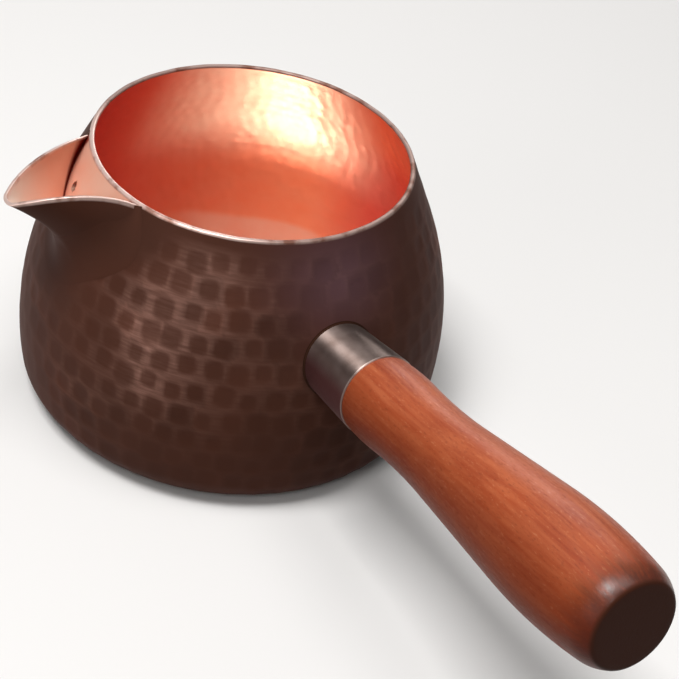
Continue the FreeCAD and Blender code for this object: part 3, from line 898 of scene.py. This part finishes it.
        # Ridges are rubbed paler all round; in slanting bands a painted sheen pales them and the flats more
        lean = np.radians(self.band_azimuth + self.band_lean * (self.band_height - wall.height))
        band = np.exp(self.band_narrowness * (np.cos(self.bands * (wall.around + lean)) - 1))
        band *= ease(*self.band_rise, wall.height)
        rubbed = (self.least_rub + (1 - self.least_rub) * band) * (0.75 + 0.25 * ease(-2.0, 1.6, drift))
        flat = self.flat_rub * band
        ridge = (flat + (1 - flat) * ease(*self.ridge_edge, near)) * fade * rubbed
        # Painted shade: the patina is darkened towards the foot and near the beak, which overhangs the wall
        smoked = 0.1 * (1 - ease(*self.foot_smoke, wall.height)) + 0.34 * (1 - ease(*self.spout_smoke, wall.clear))
        # The torch that brazed the socket left a violet bloom on the wall above it
        heat = np.hypot((wall.around - math.radians(self.bloom_azimuth)) * wall.girth / self.bloom_size[0],
                        (wall.height - self.bloom_height) / self.bloom_size[1])
        return {"ridge": ridge, "tone": 0.55 + (tone - 0.5) * 0.8 * fade - smoked, "bloom": np.exp(-heat ** 2)}

    def inside_coat(self, wall: SpunWall, beak: Beak, drift: np.ndarray) -> dict[str, np.ndarray | float]:
        """Works out the bare copper of the inner face: where it is scoured and pickled, with painted red shade and
        painted highlights.

        Args:
            wall: the bowl's points.
            beak: the spout.
            drift: a slow wander over the wall.

        Returns:
            The marks that the bare copper sets.
        """
        height = wall.height
        # Painted shade: deep red is painted near the spout and on one side, standing in for the dark red light
        # thrown about in the bowl
        at_spout = 1 - ease(*self.spout_flush, away_from(wall.around, beak.azimuth))
        at_side = 0.75 * (1 - ease(*self.side_flush, away_from(wall.around, self.side_flush_azimuth)))
        flush = np.maximum(at_spout, at_side * (1 - 0.75 * ease(54, 70, height))) * ease(4, 22, height)

        # The upper wall was polished, least of all on the side away from the handle, and the lower wall scoured
        turn = np.mod(wall.around, math.tau)
        dull_side = ease(2.55, 2.95, turn) * (1 - ease(3.6, 4.2, turn))
        floor = 1 - ease(*self.floor_height, height)
        matt = 0.92 - (0.77 - 0.55 * dull_side) * ease(36, 60, height) - 0.68 * floor

        # Painted highlight: the wall where the lamp's reflection falls and the floor that it reflects from are
        # paled, and a low band is paled as a painted reflection
        from_shine = away_from(wall.around, self.shine_azimuth)
        paled = 0.95 * (1 - ease(0.4, 0.9, from_shine)) * ease(34, 58, height)
        dregs = 1 - ease(-1.5, 1.5, height - self.dregs_height - 0.8 * drift)
        dregs *= 1 - ease(0.25, 0.6, from_shine)
        pickled = np.maximum(np.maximum(paled, 0.45 * dregs), 0.62 * floor)
        return {"bare": 1.0, "tone": 0.5, "flush": flush, "matt": matt, "pickled": pickled}


@dataclass
class PourHoles:
    """The small holes through the wall behind the beak, which hold leaves back."""

    diameter: float = 2.4
    pitch: float = 5.0
    drop: float = 10.5
    rim_height: float = 82.0
    azimuth: float = -90.0
    places: tuple[Span, ...] = ((-2, 0), (2, 0), (-1, 0.7), (1, 0.7), (0, 1), (-0.5, 1.8), (0.5, 1.8))
    reach: Span = (40.0, 62.0)
    facets: int = 24
    rim_slack: float = 0.05

    def height_of(self, down: float) -> float:
        """Returns the height of a hole some pitches down from the first row."""
        return self.rim_height - self.drop - down * self.pitch

    def pierce(self, bowl: Piece) -> None:
        """Drills the holes straight through the bowl's wall, in line with the spout."""
        turn = math.radians(self.azimuth)
        along = Vector((math.cos(turn), math.sin(turn), 0))
        aside = Vector((-math.sin(turn), math.cos(turn), 0))
        drills = []
        for sideways, down in self.places:
            middle = along * sum(self.reach) / 2 + aside * sideways * self.pitch
            middle.z = self.height_of(down)
            bpy.ops.object.select_all(action="DESELECT")
            bpy.ops.mesh.primitive_cylinder_add(
                vertices=self.facets, radius=self.diameter / 2 * METRES,
                depth=(self.reach[1] - self.reach[0]) * METRES,
                location=middle * METRES, rotation=(0, math.pi / 2, turn))
            drills.append(bpy.context.active_object)
        for drill in drills:
            drill.select_set(True)
        bpy.ops.object.join()
        drill = bpy.context.active_object
        bpy.ops.object.select_all(action="DESELECT")
        bpy.context.view_layer.objects.active = bowl
        bowl.select_set(True)
        cut = bowl.modifiers.new("pour_holes", "BOOLEAN")
        cut.operation = "DIFFERENCE"
        cut.solver = "EXACT"
        cut.object = drill
        bpy.ops.object.modifier_apply(modifier=cut.name)
        bpy.data.objects.remove(drill)
        self.brighten(bowl, along, aside)

    def brighten(self, bowl: Piece, along: Vector, aside: Vector) -> None:
        """Marks the drilled walls as bare copper.

        Args:
            bowl: the pierced bowl.
            along: the direction of the spout.
            aside: the level direction across it.
        """
        places = read_places(bowl)
        gap = np.full(len(places), np.inf)
        for sideways, down in self.places:
            across = places @ np.array(aside) - sideways * self.pitch
            gap = np.minimum(gap, np.hypot(across, places[:, 2] - self.height_of(down)))
        drilled = (gap < self.diameter / 2 + self.rim_slack) & (places @ np.array(along) > self.reach[0])
        for mark, value in (("bare", 1.0), ("matt", 0.6), ("pickled", 0.5), ("crevice", 0.0)):
            values = np.empty(len(places), np.float32)
            bowl.data.attributes[mark].data.foreach_get("value", values)
            write_mark(bowl, mark, np.where(drilled, value, values))


@dataclass
class Beak:
    """The spout, a folded sheet trough that stands against the outside of the bowl."""

    finish: RaisedCopper
    bowl: Bowl
    azimuth: float = -90.0
    reach: float = 81.0
    root: float = 56.9
    depth: float = 25.8
    keel_power: float = 1.93
    half_angle: float = 25.0
    half_angle_gain: float = 1.6
    near_pull: float = 3.3
    tip_round: float = 1.9
    tip_round_gain: float = 0.36
    sheet: float = 0.85
    crest_arc: float = 39.4
    crest_reach: float = 54.5
    crest_rise: float = 1.2
    edge_round: float = 0.3
    edge_power: float = 0.6
    sink: float = 0.4
    side_columns: int = 40
    column_power: float = 1.6
    skin_rows: int = 52
    longest: float = 60.0
    tries: int = 2400
    tip_wear: Span = (14.0, 2.0)
    dirt: Span = (0.84, 0.92)

    def skin(self, depth: np.ndarray, travel: np.ndarray, inset: float) -> tuple[np.ndarray, np.ndarray]:
        """Finds places on the beak's skin in the spout's own frame.

        The fold isn't quite even: the side towards the handle is pulled in a little.

        Args:
            depth: depth below the rim plane.
            travel: signed distance from the keel round the level section.
            inset: depth of the skin below the outer face.

        Returns:
            The reach out from the bowl's axis, and the place to the side of the spout's middle.
        """
        level = depth + inset / 2
        keel = self.root + (self.reach - self.root) * np.clip(1 - level / self.depth, 0, None) ** self.keel_power
        outer = self.tip_round + self.tip_round_gain * np.maximum(level, 0)
        small = outer - inset
        angle = np.radians(self.half_angle + self.half_angle_gain * level - self.near_pull * (travel > 0))
        swing = math.pi / 2 - angle
        length = np.abs(travel)
        turn = np.minimum(length / small, swing)
        straight = np.maximum(length - small * swing, 0)
        out = keel - outer + small * np.cos(turn) - straight * np.cos(angle)
        side = np.sign(travel) * (small * np.sin(turn) + straight * np.sin(angle))
        return out, side

    def contact(self, depth: np.ndarray, inset: float, sink: float) -> np.ndarray:
        """Finds how far round the section the skin meets the bowl's wall.

        Args:
            depth: depths below the rim plane.
            inset: depth of the skin below the outer face.
            sink: depth below the bowl's outer face.

        Returns:
            A row per depth: the distance on the far side, and on the side towards the handle.
        """
        tries = np.linspace(0, self.longest, self.tries + 1)
        wall = self.bowl.radius_at(self.bowl.height - depth, sink)[:, None]
        sides = []
        for way in (-1, 1):
            out, side = self.skin(depth[:, None], way * tries[None, :], inset)
            sides.append(tries[np.argmax(np.hypot(out, side) <= wall, axis=1)])
        return np.stack(sides, axis=1)

    def crest(self, out: np.ndarray) -> np.ndarray:
        """Returns the depth of the arched top edge below the rim plane at each reach."""
        rise = np.sqrt(np.maximum(self.crest_arc ** 2 - (out - self.crest_reach) ** 2, 0))
        return self.crest_arc - self.crest_rise - rise

    def turn_out(self, out: np.ndarray, side: np.ndarray, depth: np.ndarray) -> np.ndarray:
        """Turns places in the spout's frame into the part's frame."""
        turn = math.radians(self.azimuth)
        return np.stack((out * math.cos(turn) - side * math.sin(turn),
                         out * math.sin(turn) + side * math.cos(turn), self.bowl.height - depth), axis=-1)

    def turn_in(self, places: np.ndarray) -> tuple[np.ndarray, np.ndarray, np.ndarray]:
        """Turns places in the part's frame into reach, side and depth in the spout's frame."""
        turn = math.radians(self.azimuth)
        out = places[:, 0] * math.cos(turn) + places[:, 1] * math.sin(turn)
        side = places[:, 1] * math.cos(turn) - places[:, 0] * math.sin(turn)
        return out, side, self.bowl.height - places[:, 2]

    def seat(self, places: np.ndarray) -> np.ndarray:
        """Moves places level onto the beak's outer skin."""
        out, side, depth = self.turn_in(places)
        travel = np.linspace(-self.longest, self.longest, 2 * self.tries + 1)
        skin_out, skin_side = self.skin(depth[:, None], travel[None, :], 0.0)
        pick = np.argmin((skin_out - out[:, None]) ** 2 + (skin_side - side[:, None]) ** 2, axis=1)[:, None]
        return self.turn_out(np.take_along_axis(skin_out, pick, 1)[:, 0],
                             np.take_along_axis(skin_side, pick, 1)[:, 0], depth)

    def clearance(self, places: np.ndarray) -> np.ndarray:
        """Returns how far places on the bowl's wall lie outside the beak's outer seam, less inside it."""
        out, side, depth = self.turn_in(places)
        levels = np.linspace(0, self.depth, 160)
        lengths = self.contact(levels, 0.0, 0.0)
        far, near = (np.abs(self.skin(levels, way * lengths[:, column], 0.0)[1])
                     for column, way in enumerate((-1, 1)))
        bottom = levels[np.argmax(near < 0.3)]
        beside = np.abs(side) - np.where(side > 0, np.interp(depth, levels, near), np.interp(depth, levels, far))
        under = np.hypot(np.maximum(depth - bottom, 0), side)
        gap = np.where(depth > bottom, under, beside)
        return np.where(out > 0, gap, 100.0)

    def sheet_side(self, inset: float, shares: np.ndarray) -> np.ndarray:
        """Places one face of the sheet from its foot in the bowl's wall up to its rounded top edge.

        Args:
            inset: depth of the face below the outer one.
            shares: signed share of the way from the keel to the seam, for each column.

        Returns:
            Rows from the foot to the top, columns, and reach, side and depth.
        """
        levels = np.linspace(-2.0, self.depth, 700)
        lengths = self.contact(levels, inset, self.sink)
        foot = levels[np.argmax(lengths.max(axis=1) < 4.0)]
        near = (shares > 0).astype(int)
        out, _ = self.skin(levels[:, None], lengths[:, near] * shares, inset)
        top = levels[np.argmax(levels[:, None] >= self.crest(out), axis=0)] + self.edge_round
        rows = np.linspace(1, 0, self.skin_rows)[:, None]
        depth = top[None, :] + (foot - top[None, :]) * rows
        length = np.where(near, np.interp(depth, levels, lengths[:, 1]), np.interp(depth, levels, lengths[:, 0]))
        out, side = self.skin(depth, length * shares, inset)
        return np.stack((out, side, depth), axis=-1)

    def build(self) -> Piece:
        """Folds the sheet and rounds its edge.

        Returns:
            The finished beak.
        """
        half = np.linspace(0, 1, self.side_columns + 1) ** self.column_power
        shares = np.concatenate((-half[:0:-1], half))
        outer = self.sheet_side(0.0, shares)
        inner = self.sheet_side(self.sheet, shares)[::-1]
        turns = np.linspace(0, math.pi, 9)[1:-1, None, None]
        middle = (outer[-1] + inner[0]) / 2
        arm = (outer[-1] - inner[0]) / 2
        edge = middle + arm * np.sign(np.cos(turns)) * np.abs(np.cos(turns)) ** self.edge_power
        edge[..., 2] -= self.edge_round * np.sin(turns[..., 0]) ** self.edge_power
        rows = np.concatenate((outer[:1], outer, edge, inner, inner[-1:]))

        # Both faces run together inside the bowl's wall, so the sheet is closed where it is soldered
        rows[0] = rows[-1] = (outer[0] + inner[-1]) / 2
        for column in (0, -1):
            rows[:, column] = (rows[:, column] + rows[::-1, column]) / 2
        places = self.turn_out(rows[..., 0], rows[..., 1], rows[..., 2])

        # The top edge is burnished, and painted shade with some dirt darkens where the trough meets the bowl
        edge_row = self.skin_rows + 1
        inner_row = edge_row + len(edge)
        bare, burnish, crevice = np.zeros((3, *rows.shape[:2]))
        bare[edge_row:] = 1.0
        burnish[edge_row - 2:edge_row] = 0.5
        burnish[edge_row:inner_row] = 1.0
        burnish[inner_row:inner_row + 2] = 0.6
        crevice[inner_row:] = ease(*self.dirt, np.abs(shares))[None, :]
        # The tip is paled as a painted highlight
        from_tip = rows[..., 0].max() - rows[..., 0]
        marks = copper_marks(
            rows.shape[:2], bare=bare, burnish=burnish, crevice=crevice, matt=bare,
            tone=self.bowl.trough_tone + 0.04 * bare, pickled=bare * (0.5 + 0.5 * ease(*self.tip_wear, from_tip)))
        piece = skin_grid("spout_beak_copper", places, marks)
        settle(piece, "spout_beak", self.finish.material())
        return piece

    def seam(self, count: int) -> tuple[np.ndarray, np.ndarray]:
        """Follows the outside seam down one side of the beak and up the other.

        Args:
            count: number of places.

        Returns:
            Places along the seam, and the beak's outward directions there.
        """
        levels = np.linspace(0.6, self.depth, 900)
        lengths = self.contact(levels, 0.0, 0.0)
        last = int(np.argmax(lengths.max(axis=1) <= 0.05))
        depth = np.concatenate((levels[:last], levels[:last][::-1]))
        travel = np.concatenate((-lengths[:last, 0], lengths[:last, 1][::-1]))
        run = run_length(self.turn_out(*self.skin(depth, travel, 0.0), depth))
        even = np.linspace(0, run[-1], count)
        depth = np.interp(even, run, depth)
        travel = np.interp(even, run, travel)
        places = self.turn_out(*self.skin(depth, travel, 0.0), depth)
        reach = 0.05
        round_section = self.turn_out(*self.skin(depth, travel + reach, 0.0), depth) - places
        down = self.turn_out(*self.skin(depth + reach, travel, 0.0), depth + reach) - places
        return places, unit(np.cross(down, round_section))


@dataclass
class DressedSeam:
    """A run of solder along a seam on the bowl, filed to a hollow fillet."""

    name: str
    node: str
    finish: RaisedCopper
    legs: Span
    closed: bool
    round_points: int = 11
    proud: float = 0.02
    bite: float = 0.3
    tip_size: float = 0.15
    tip_run: float = 13.0

    def build(self, seam: np.ndarray, out: np.ndarray, fitting: Beak | HandleSocket, bowl: Bowl) -> Piece:
        """Sweeps the fillet along the seam of a fitting and the bowl.

        Args:
            seam: places along the seam.
            out: the fitting's outward directions there.
            fitting: the piece that is soldered on.
            bowl: the bowl.

        Returns:
            The finished fillet.
        """
        wall = bowl.normal_at(seam)
        along = np.gradient(seam, axis=0)
        size = np.ones((len(seam), 1))
        if self.closed:
            along = (np.roll(seam, -1, axis=0) - np.roll(seam, 1, axis=0)) / 2
        else:
            run = run_length(seam)
            grown = ease(0, self.tip_run, np.minimum(run, run[-1] - run))
            size[:, 0] = self.tip_size + (1 - self.tip_size) * grown
        along = unit(along)
        up = np.cross(along, out)
        up *= np.sign(np.sum(up * wall, axis=1, keepdims=True))
        away = np.cross(along, wall)
        away *= np.sign(np.sum(away * out, axis=1, keepdims=True))
        start = fitting.seat(seam + up * self.legs[0] * size) + out * self.proud
        end = bowl.seat(seam + away * self.legs[1] * size) + wall * self.proud
        shares = np.linspace(0, 1, self.round_points)[:, None, None]
        middle = seam + (out + wall) * self.proud
        hollow = (1 - shares) ** 2 * start + 2 * shares * (1 - shares) * middle + shares ** 2 * end
        back = seam - (out + wall) * self.bite
        ring = np.concatenate((hollow, back[None], hollow[:1])).transpose(1, 0, 2)
        if self.closed:
            ring = np.concatenate((ring, ring[:1]))
        else:
            tips = np.repeat(seam[[0, -1], None], ring.shape[1], axis=1)
            ring = np.concatenate((tips[:1], ring, tips[1:]))
        piece = skin_grid(self.name, ring, copper_marks(ring.shape[:2], tone=bowl.trough_tone))
        settle(piece, self.node, self.finish.material())
        return piece


@dataclass
class HandleAxis:
    """The line that the socket and the grip are turned about."""

    height: float = 39.1
    tilt: float = 10.5

    @property
    def origin(self) -> np.ndarray:
        """The point where the axis crosses the bowl's own axis."""
        return np.array((0.0, 0.0, self.height))

    @property
    def along(self) -> np.ndarray:
        """The direction away from the bowl."""
        turn = math.radians(self.tilt)
        return np.array((math.cos(turn), 0.0, math.sin(turn)))

    @property
    def above(self) -> np.ndarray:
        """The direction square to the axis that is nearest to up."""
        turn = math.radians(self.tilt)
        return np.array((-math.sin(turn), 0.0, math.cos(turn)))

    def spin(self, name: str, outline: np.ndarray, steps: int) -> Piece:
        """Turns an outline of places along the axis and radii about it."""
        section = self.origin + outline[:, :1] * self.along + outline[:, 1:] * self.above
        return spin_outline(name, section, Vector(self.origin), Vector(self.along), steps)

    def unroll(self, places: np.ndarray) -> tuple[np.ndarray, np.ndarray, np.ndarray]:
        """Splits places into distance along the axis, distance from it, and direction round it."""
        gap = places - self.origin
        along = gap @ self.along
        spoke = gap - along[:, None] * self.along
        radius = np.linalg.norm(spoke, axis=1)
        return along, radius, spoke / np.maximum(radius, 1e-9)[:, None]


@dataclass
class HandleSocket:
    """The tapered tube of rolled sheet that holds the grip."""

    axis: HandleAxis
    finish: BronzedSocket
    start: float = 50.0
    end: float = 80.8
    start_radius: float = 10.2
    end_radius: float = 11.7
    sheet: float = 1.2
    mouth_round: float = 0.4
    sink: float = 0.4
    turn_steps: int = 160
    outer_step: float = 1.2
    inner_step: float = 4.0
    root_search: Span = (40.0, 78.0)
    halvings: int = 40
    worn_lip: Span = (0.45, 0.2)
    clean_side: Place = (0.0, 0.36, 0.0)
    clean_length: float = 1.063

    def radius_at(self, place: np.ndarray) -> np.ndarray:
        """Returns the outer radius at a place along the axis."""
        taper = (self.end_radius - self.start_radius) / (self.end - self.start)
        return self.start_radius + taper * (place - self.start)

    def place(self, along: np.ndarray, spoke: np.ndarray) -> np.ndarray:
        """Returns places on the tube's outer face."""
        return self.axis.origin + along[:, None] * self.axis.along + self.radius_at(along)[:, None] * spoke

    def root(self, bowl: Bowl, spoke: np.ndarray, sink: float) -> np.ndarray:
        """Finds where the tube meets the bowl's wall.

        Args:
            bowl: the bowl.
            spoke: directions round the axis.
            sink: depth below the bowl's outer face.

        Returns:
            The place along the axis for each direction.
        """
        low, high = (np.full(len(spoke), limit) for limit in self.root_search)
        for _ in range(self.halvings):
            middle = (low + high) / 2
            place = self.place(middle, spoke)
            outside = np.hypot(place[:, 0], place[:, 1]) > bowl.radius_at(place[:, 2], sink)
            high = np.where(outside, middle, high)
            low = np.where(outside, low, middle)
        return (low + high) / 2

    def build(self, bowl: Bowl) -> Piece:
        """Turns the tube and fits its root to the bowl.

        Args:
            bowl: the bowl that it is brazed to.

        Returns:
            The finished socket.
        """
        wall = np.array((0, self.sheet))
        root = np.array((self.start, self.start_radius))
        mouth = np.array((self.end, self.end_radius))
        lip = corner_run(root, mouth, mouth - wall, self.mouth_round)
        brim = corner_run(mouth, mouth - wall, root - wall, self.mouth_round)
        outline = join_runs(line_run(root, lip[0], self.outer_step), lip, brim,
                            line_run(brim[-1], root - wall, self.inner_step), root[None])
        piece = self.axis.spin("handle_socket_bronzed", outline, self.turn_steps)
        along, radius, spoke = self.axis.unroll(read_places(piece))
        inset = self.radius_at(along) - radius
        share = (along - self.start) / (self.end - self.start)
        foot = self.root(bowl, spoke, self.sink)
        fitted = foot + share * (self.end - foot)
        write_places(piece, self.place(fitted, spoke) - inset[:, None] * spoke)

        # Painted shade darkens the underside of the tube; the lip is rubbed bright, and painted brighter on the
        # upper side where the light falls
        upper = spoke @ (self.axis.above + np.array(self.clean_side)) / self.clean_length
        lip_share = ease(self.end - self.worn_lip[0], self.end - self.worn_lip[1], along)
        write_mark(piece, "burnish", lip_share * (0.25 + 0.75 * ease(-0.3, 0.8, upper)))
        write_mark(piece, "soot", ease(0.68, -0.2, upper))
        settle(piece, "handle_socket", self.finish.material())
        return piece

    def seat(self, places: np.ndarray) -> np.ndarray:
        """Moves places square to the axis onto the tube's outer face."""
        along, _, spoke = self.axis.unroll(places)
        return self.place(along, spoke)

    def seam(self, bowl: Bowl, count: int) -> tuple[np.ndarray, np.ndarray]:
        """Follows the seam of the tube and the bowl, with the tube's outward directions."""
        turns = np.linspace(0, math.tau, count, endpoint=False)[:, None]
        spoke = np.cos(turns) * self.axis.above + np.sin(turns) * np.cross(self.axis.along, self.axis.above)
        return self.place(self.root(bowl, spoke, 0.0), spoke), spoke


@dataclass
class Grip:
    """The turned hardwood grip, driven into the socket."""

    axis: HandleAxis
    finish: OiledHardwood
    start: float = 80.8
    length: float = 106.6
    tenon_start: float = 63.5
    tenon_radii: Span = (9.66, 10.5)
    shoulder: Span = (8.0, 11.75)
    shoulder_round: float = 0.35
    waist: Span = (23.7, 11.22)
    waist_arc: float = 150.0
    swell: Span = (81.7, 15.12)
    swell_arc: float = 145.0
    brow_arc: float = 12.0
    end_radius: float = 11.5
    end_round: float = 1.2
    turn_steps: int = 144
    body_step: float = 1.2
    brow_step: float = 0.5
    face_step: float = 1.4
    rub_depth: float = 0.045
    upper_side: Span = (0.75, 0.66)
    oil_share: float = 0.6

    def outline(self) -> np.ndarray:
        """Draws half a section, from the tenon's tip to the middle of the end face."""
        rise = self.shoulder[1] - self.waist[1]
        gap = self.waist[0] - self.shoulder[0]
        bulge_arc = (gap ** 2 + rise ** 2) / (2 * rise) - self.waist_arc
        bulge = (self.shoulder[0], self.shoulder[1] - bulge_arc)
        hollow = (self.waist[0], self.waist[1] + self.waist_arc)
        palm = np.array((self.swell[0], self.swell[1] - self.swell_arc))
        across = palm - np.array(hollow)
        slope = math.atan2(across[1], across[0])
        slope += math.asin((self.waist_arc + self.swell_arc) / math.hypot(*across))
        turn = math.asin(gap / (self.waist_arc + bulge_arc))
        leave = math.acos(self.shoulder[0] / bulge_arc)
        edge = np.array((self.length, self.end_radius))
        reach = edge - palm
        inner = self.swell_arc - self.brow_arc
        span = math.hypot(*reach)
        tilt = math.atan2(reach[1], reach[0])
        tilt += math.acos((inner ** 2 - self.brow_arc ** 2 + span ** 2) / (2 * span * inner))
        brow = palm + inner * np.array((math.cos(tilt), math.sin(tilt)))
        fall = math.atan2(edge[1] - brow[1], edge[0] - brow[0])
        nose = arc_run(brow, self.brow_arc, tilt, fall, self.brow_step)
        face = np.array((self.length, 0.0))
        round_end = corner_run(nose[-3], edge, face, self.end_round)
        nose = nose[nose[:, 0] < round_end[0, 0]]
        body = join_runs(
            arc_run(bulge, bulge_arc, math.pi - leave, math.pi / 2 - turn, self.body_step),
            arc_run(hollow, self.waist_arc, 1.5 * math.pi - turn, 1.5 * math.pi + slope, self.body_step),
            arc_run(palm, self.swell_arc, math.pi / 2 + slope, tilt, self.body_step),
            nose, round_end, line_run(round_end[-1], face, self.face_step))
        body[:, 0] += self.start
        step = corner_run(np.array((self.start, 0.0)), body[0], body[1], self.shoulder_round)
        tenon = np.array(((self.tenon_start, 0.0), (self.tenon_start, self.tenon_radii[0]),
                          (self.start, self.tenon_radii[1])))
        return join_runs(tenon, step, body[body[:, 0] > step[-1, 0]])

    def build(self) -> Piece:
        """Turns the grip and rubs it down by hand.

        Returns:
            The finished grip.
        """
        piece = self.axis.spin("grip_hardwood", self.outline(), self.turn_steps)
        places = read_places(piece)
        along, radius, spoke = self.axis.unroll(places)
        angle = np.arctan2(spoke @ self.axis.above, spoke[:, 1])
        rubbed = np.sin(2 * angle + along / 31) + np.sin(3 * angle - along / 17 + 1.3) + np.sin(along / 9 + angle)
        shown = ease(self.start + 2, self.start + 14, along) * ease(2, 8, radius)
        places -= (self.rub_depth * (rubbed + 3) * shown)[:, None] * spoke
        write_places(piece, places)
        # Painted shade: the side below, turned away from the lamps, is darkened
        held = spoke @ (self.axis.above * self.upper_side[0] + np.array((0.0, self.upper_side[1], 0.0)))
        write_mark(piece, "palm", self.oil_share * ease(0.45, -0.5, held))
        settle(piece, "grip", self.finish.material())
        return piece


def aim_at(name: str, data: bpy.types.ID, place: Vector, target: Vector, roll: float = 0.0) -> Piece:
    """Puts a camera or a lamp into the scene and points it.

    Args:
        name: its name.
        data: the camera or lamp.
        place: where it stands.
        target: what it points at.
        roll: turn about its line of sight, in degrees.

    Returns:
        The object.
    """
    thing = bpy.data.objects.new(name, data)
    bpy.context.scene.collection.objects.link(thing)
    thing.location = place * METRES
    thing.rotation_mode = "QUATERNION"
    sight = (target - place).to_track_quat("-Z", "Y")
    thing.rotation_quaternion = sight @ Quaternion((0, 0, 1), math.radians(roll))
    return thing


@dataclass
class PhotoCamera:
    """The camera at the photograph's place."""

    place: Place = (351.70, -211.66, 337.04)
    aim: Place = (30.96, 19.03, 30.60)
    roll: float = 10.57
    lens: float = 90.13
    sensor: float = 36.0
    nearest: float = 10.0

    def build(self) -> None:
        """Adds the camera and makes it the scene's own."""
        data = bpy.data.cameras.new("photo_camera")
        data.lens = self.lens
        data.sensor_width = self.sensor
        data.clip_start = self.nearest * METRES
        bpy.context.scene.camera = aim_at("photo_camera", data, Vector(self.place), Vector(self.aim), self.roll)


@dataclass(frozen=True)
class SoftBox:
    """A square studio lamp that faces the pot."""

    name: str
    place: Place
    width: float
    watts: float

    def build(self, target: Vector) -> None:
        """Hangs the lamp and points it."""
        data = bpy.data.lights.new(self.name, "AREA")
        data.shape = "SQUARE"
        data.size = self.width * METRES
        data.energy = self.watts
        aim_at(self.name, data, Vector(self.place), target)


@dataclass
class Studio:
    """The pale floor and the soft light."""

    floor: PaleFloor
    floor_width: float = 12000.0
    lamps: tuple[SoftBox, ...] = (
        SoftBox("overhead", (80.0, -430.0, 1200.0), 450.0, 12.5),
        SoftBox("room", (850.0, -610.0, 1200.0), 280.0, 2.4),
        SoftBox("fill", (220.0, 100.0, 1050.0), 450.0, 2.1),
        SoftBox("window", (300.0, -890.0, 320.0), 600.0, 2.0),
        SoftBox("back", (-879.0, 738.0, 610.0), 450.0, 3.2),
    )
    target: Place = (20.0, 0.0, 40.0)
    zenith: float = 0.18
    horizon: float = 0.07
    dusk: float = 1.5

    def build(self) -> None:
        """Lays the floor, hangs the lamps and sets the light of the room."""
        bpy.ops.object.select_all(action="DESELECT")
        bpy.ops.mesh.primitive_plane_add(size=self.floor_width * METRES)
        board = bpy.context.active_object
        board.name = "studio_floor"
        board.data.materials.append(self.floor.material())
        for lamp in self.lamps:
            lamp.build(Vector(self.target))
        world = bpy.data.worlds.new("studio_room")
        bpy.context.scene.world = world
        world.use_nodes = True
        tree = world.node_tree
        add = partial(add_node, tree)
        height = add("SeparateXYZ", (add("TexCoord", out="Generated"),), out=2)
        lift = add("Math", (height, self.dusk), operation="POWER", use_clamp=True)
        glow = add("MapRange", (lift, 0.0, 1.0, self.horizon, self.zenith))
        feed(tree, tree.nodes["Background"], {"Strength": glow, "Color": WHITE})
        bpy.context.scene.view_settings.view_transform = "Standard"


def dress_pin(node: Piece) -> None:
    """Gives the pin's own solid the patinated copper of the pot."""
    node.data.materials.clear()
    node.data.materials.append(RaisedCopper(name="copper_pin_patinated", flat_brown="6A463B").material())
    log.info("%s keeps its solid", node.name)


def main() -> None:
    """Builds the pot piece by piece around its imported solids."""
    logging.basicConfig(level=logging.INFO, format="%(name)s: %(message)s")
    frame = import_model()

    copper = RaisedCopper()
    bowl = Bowl(copper)
    beak = Beak(copper, bowl)
    axis = HandleAxis()
    socket = HandleSocket(axis, BronzedSocket())

    bowl.build(beak, PourHoles())
    beak.build()
    solder = DressedSeam("spout_seam_solder", "spout_solder", copper, legs=(7.0, 8.0), closed=False)
    solder.build(*beak.seam(180), beak, bowl)
    socket.build(bowl)
    smoked = RaisedCopper(name="copper_brazing_smoked", flat_brown="2E1C15", flat_red="382117")
    brazing = DressedSeam("socket_seam_solder", "socket_solder", smoked, legs=(0.55, 0.5), closed=True)
    brazing.build(*socket.seam(bowl, 120), socket, bowl)
    Grip(axis, OiledHardwood()).build()
    dress_pin(frame["nodes"]["grip_pin"])

    PhotoCamera().build()
    Studio(PaleFloor()).build()


if __name__ == "__main__":
    main()
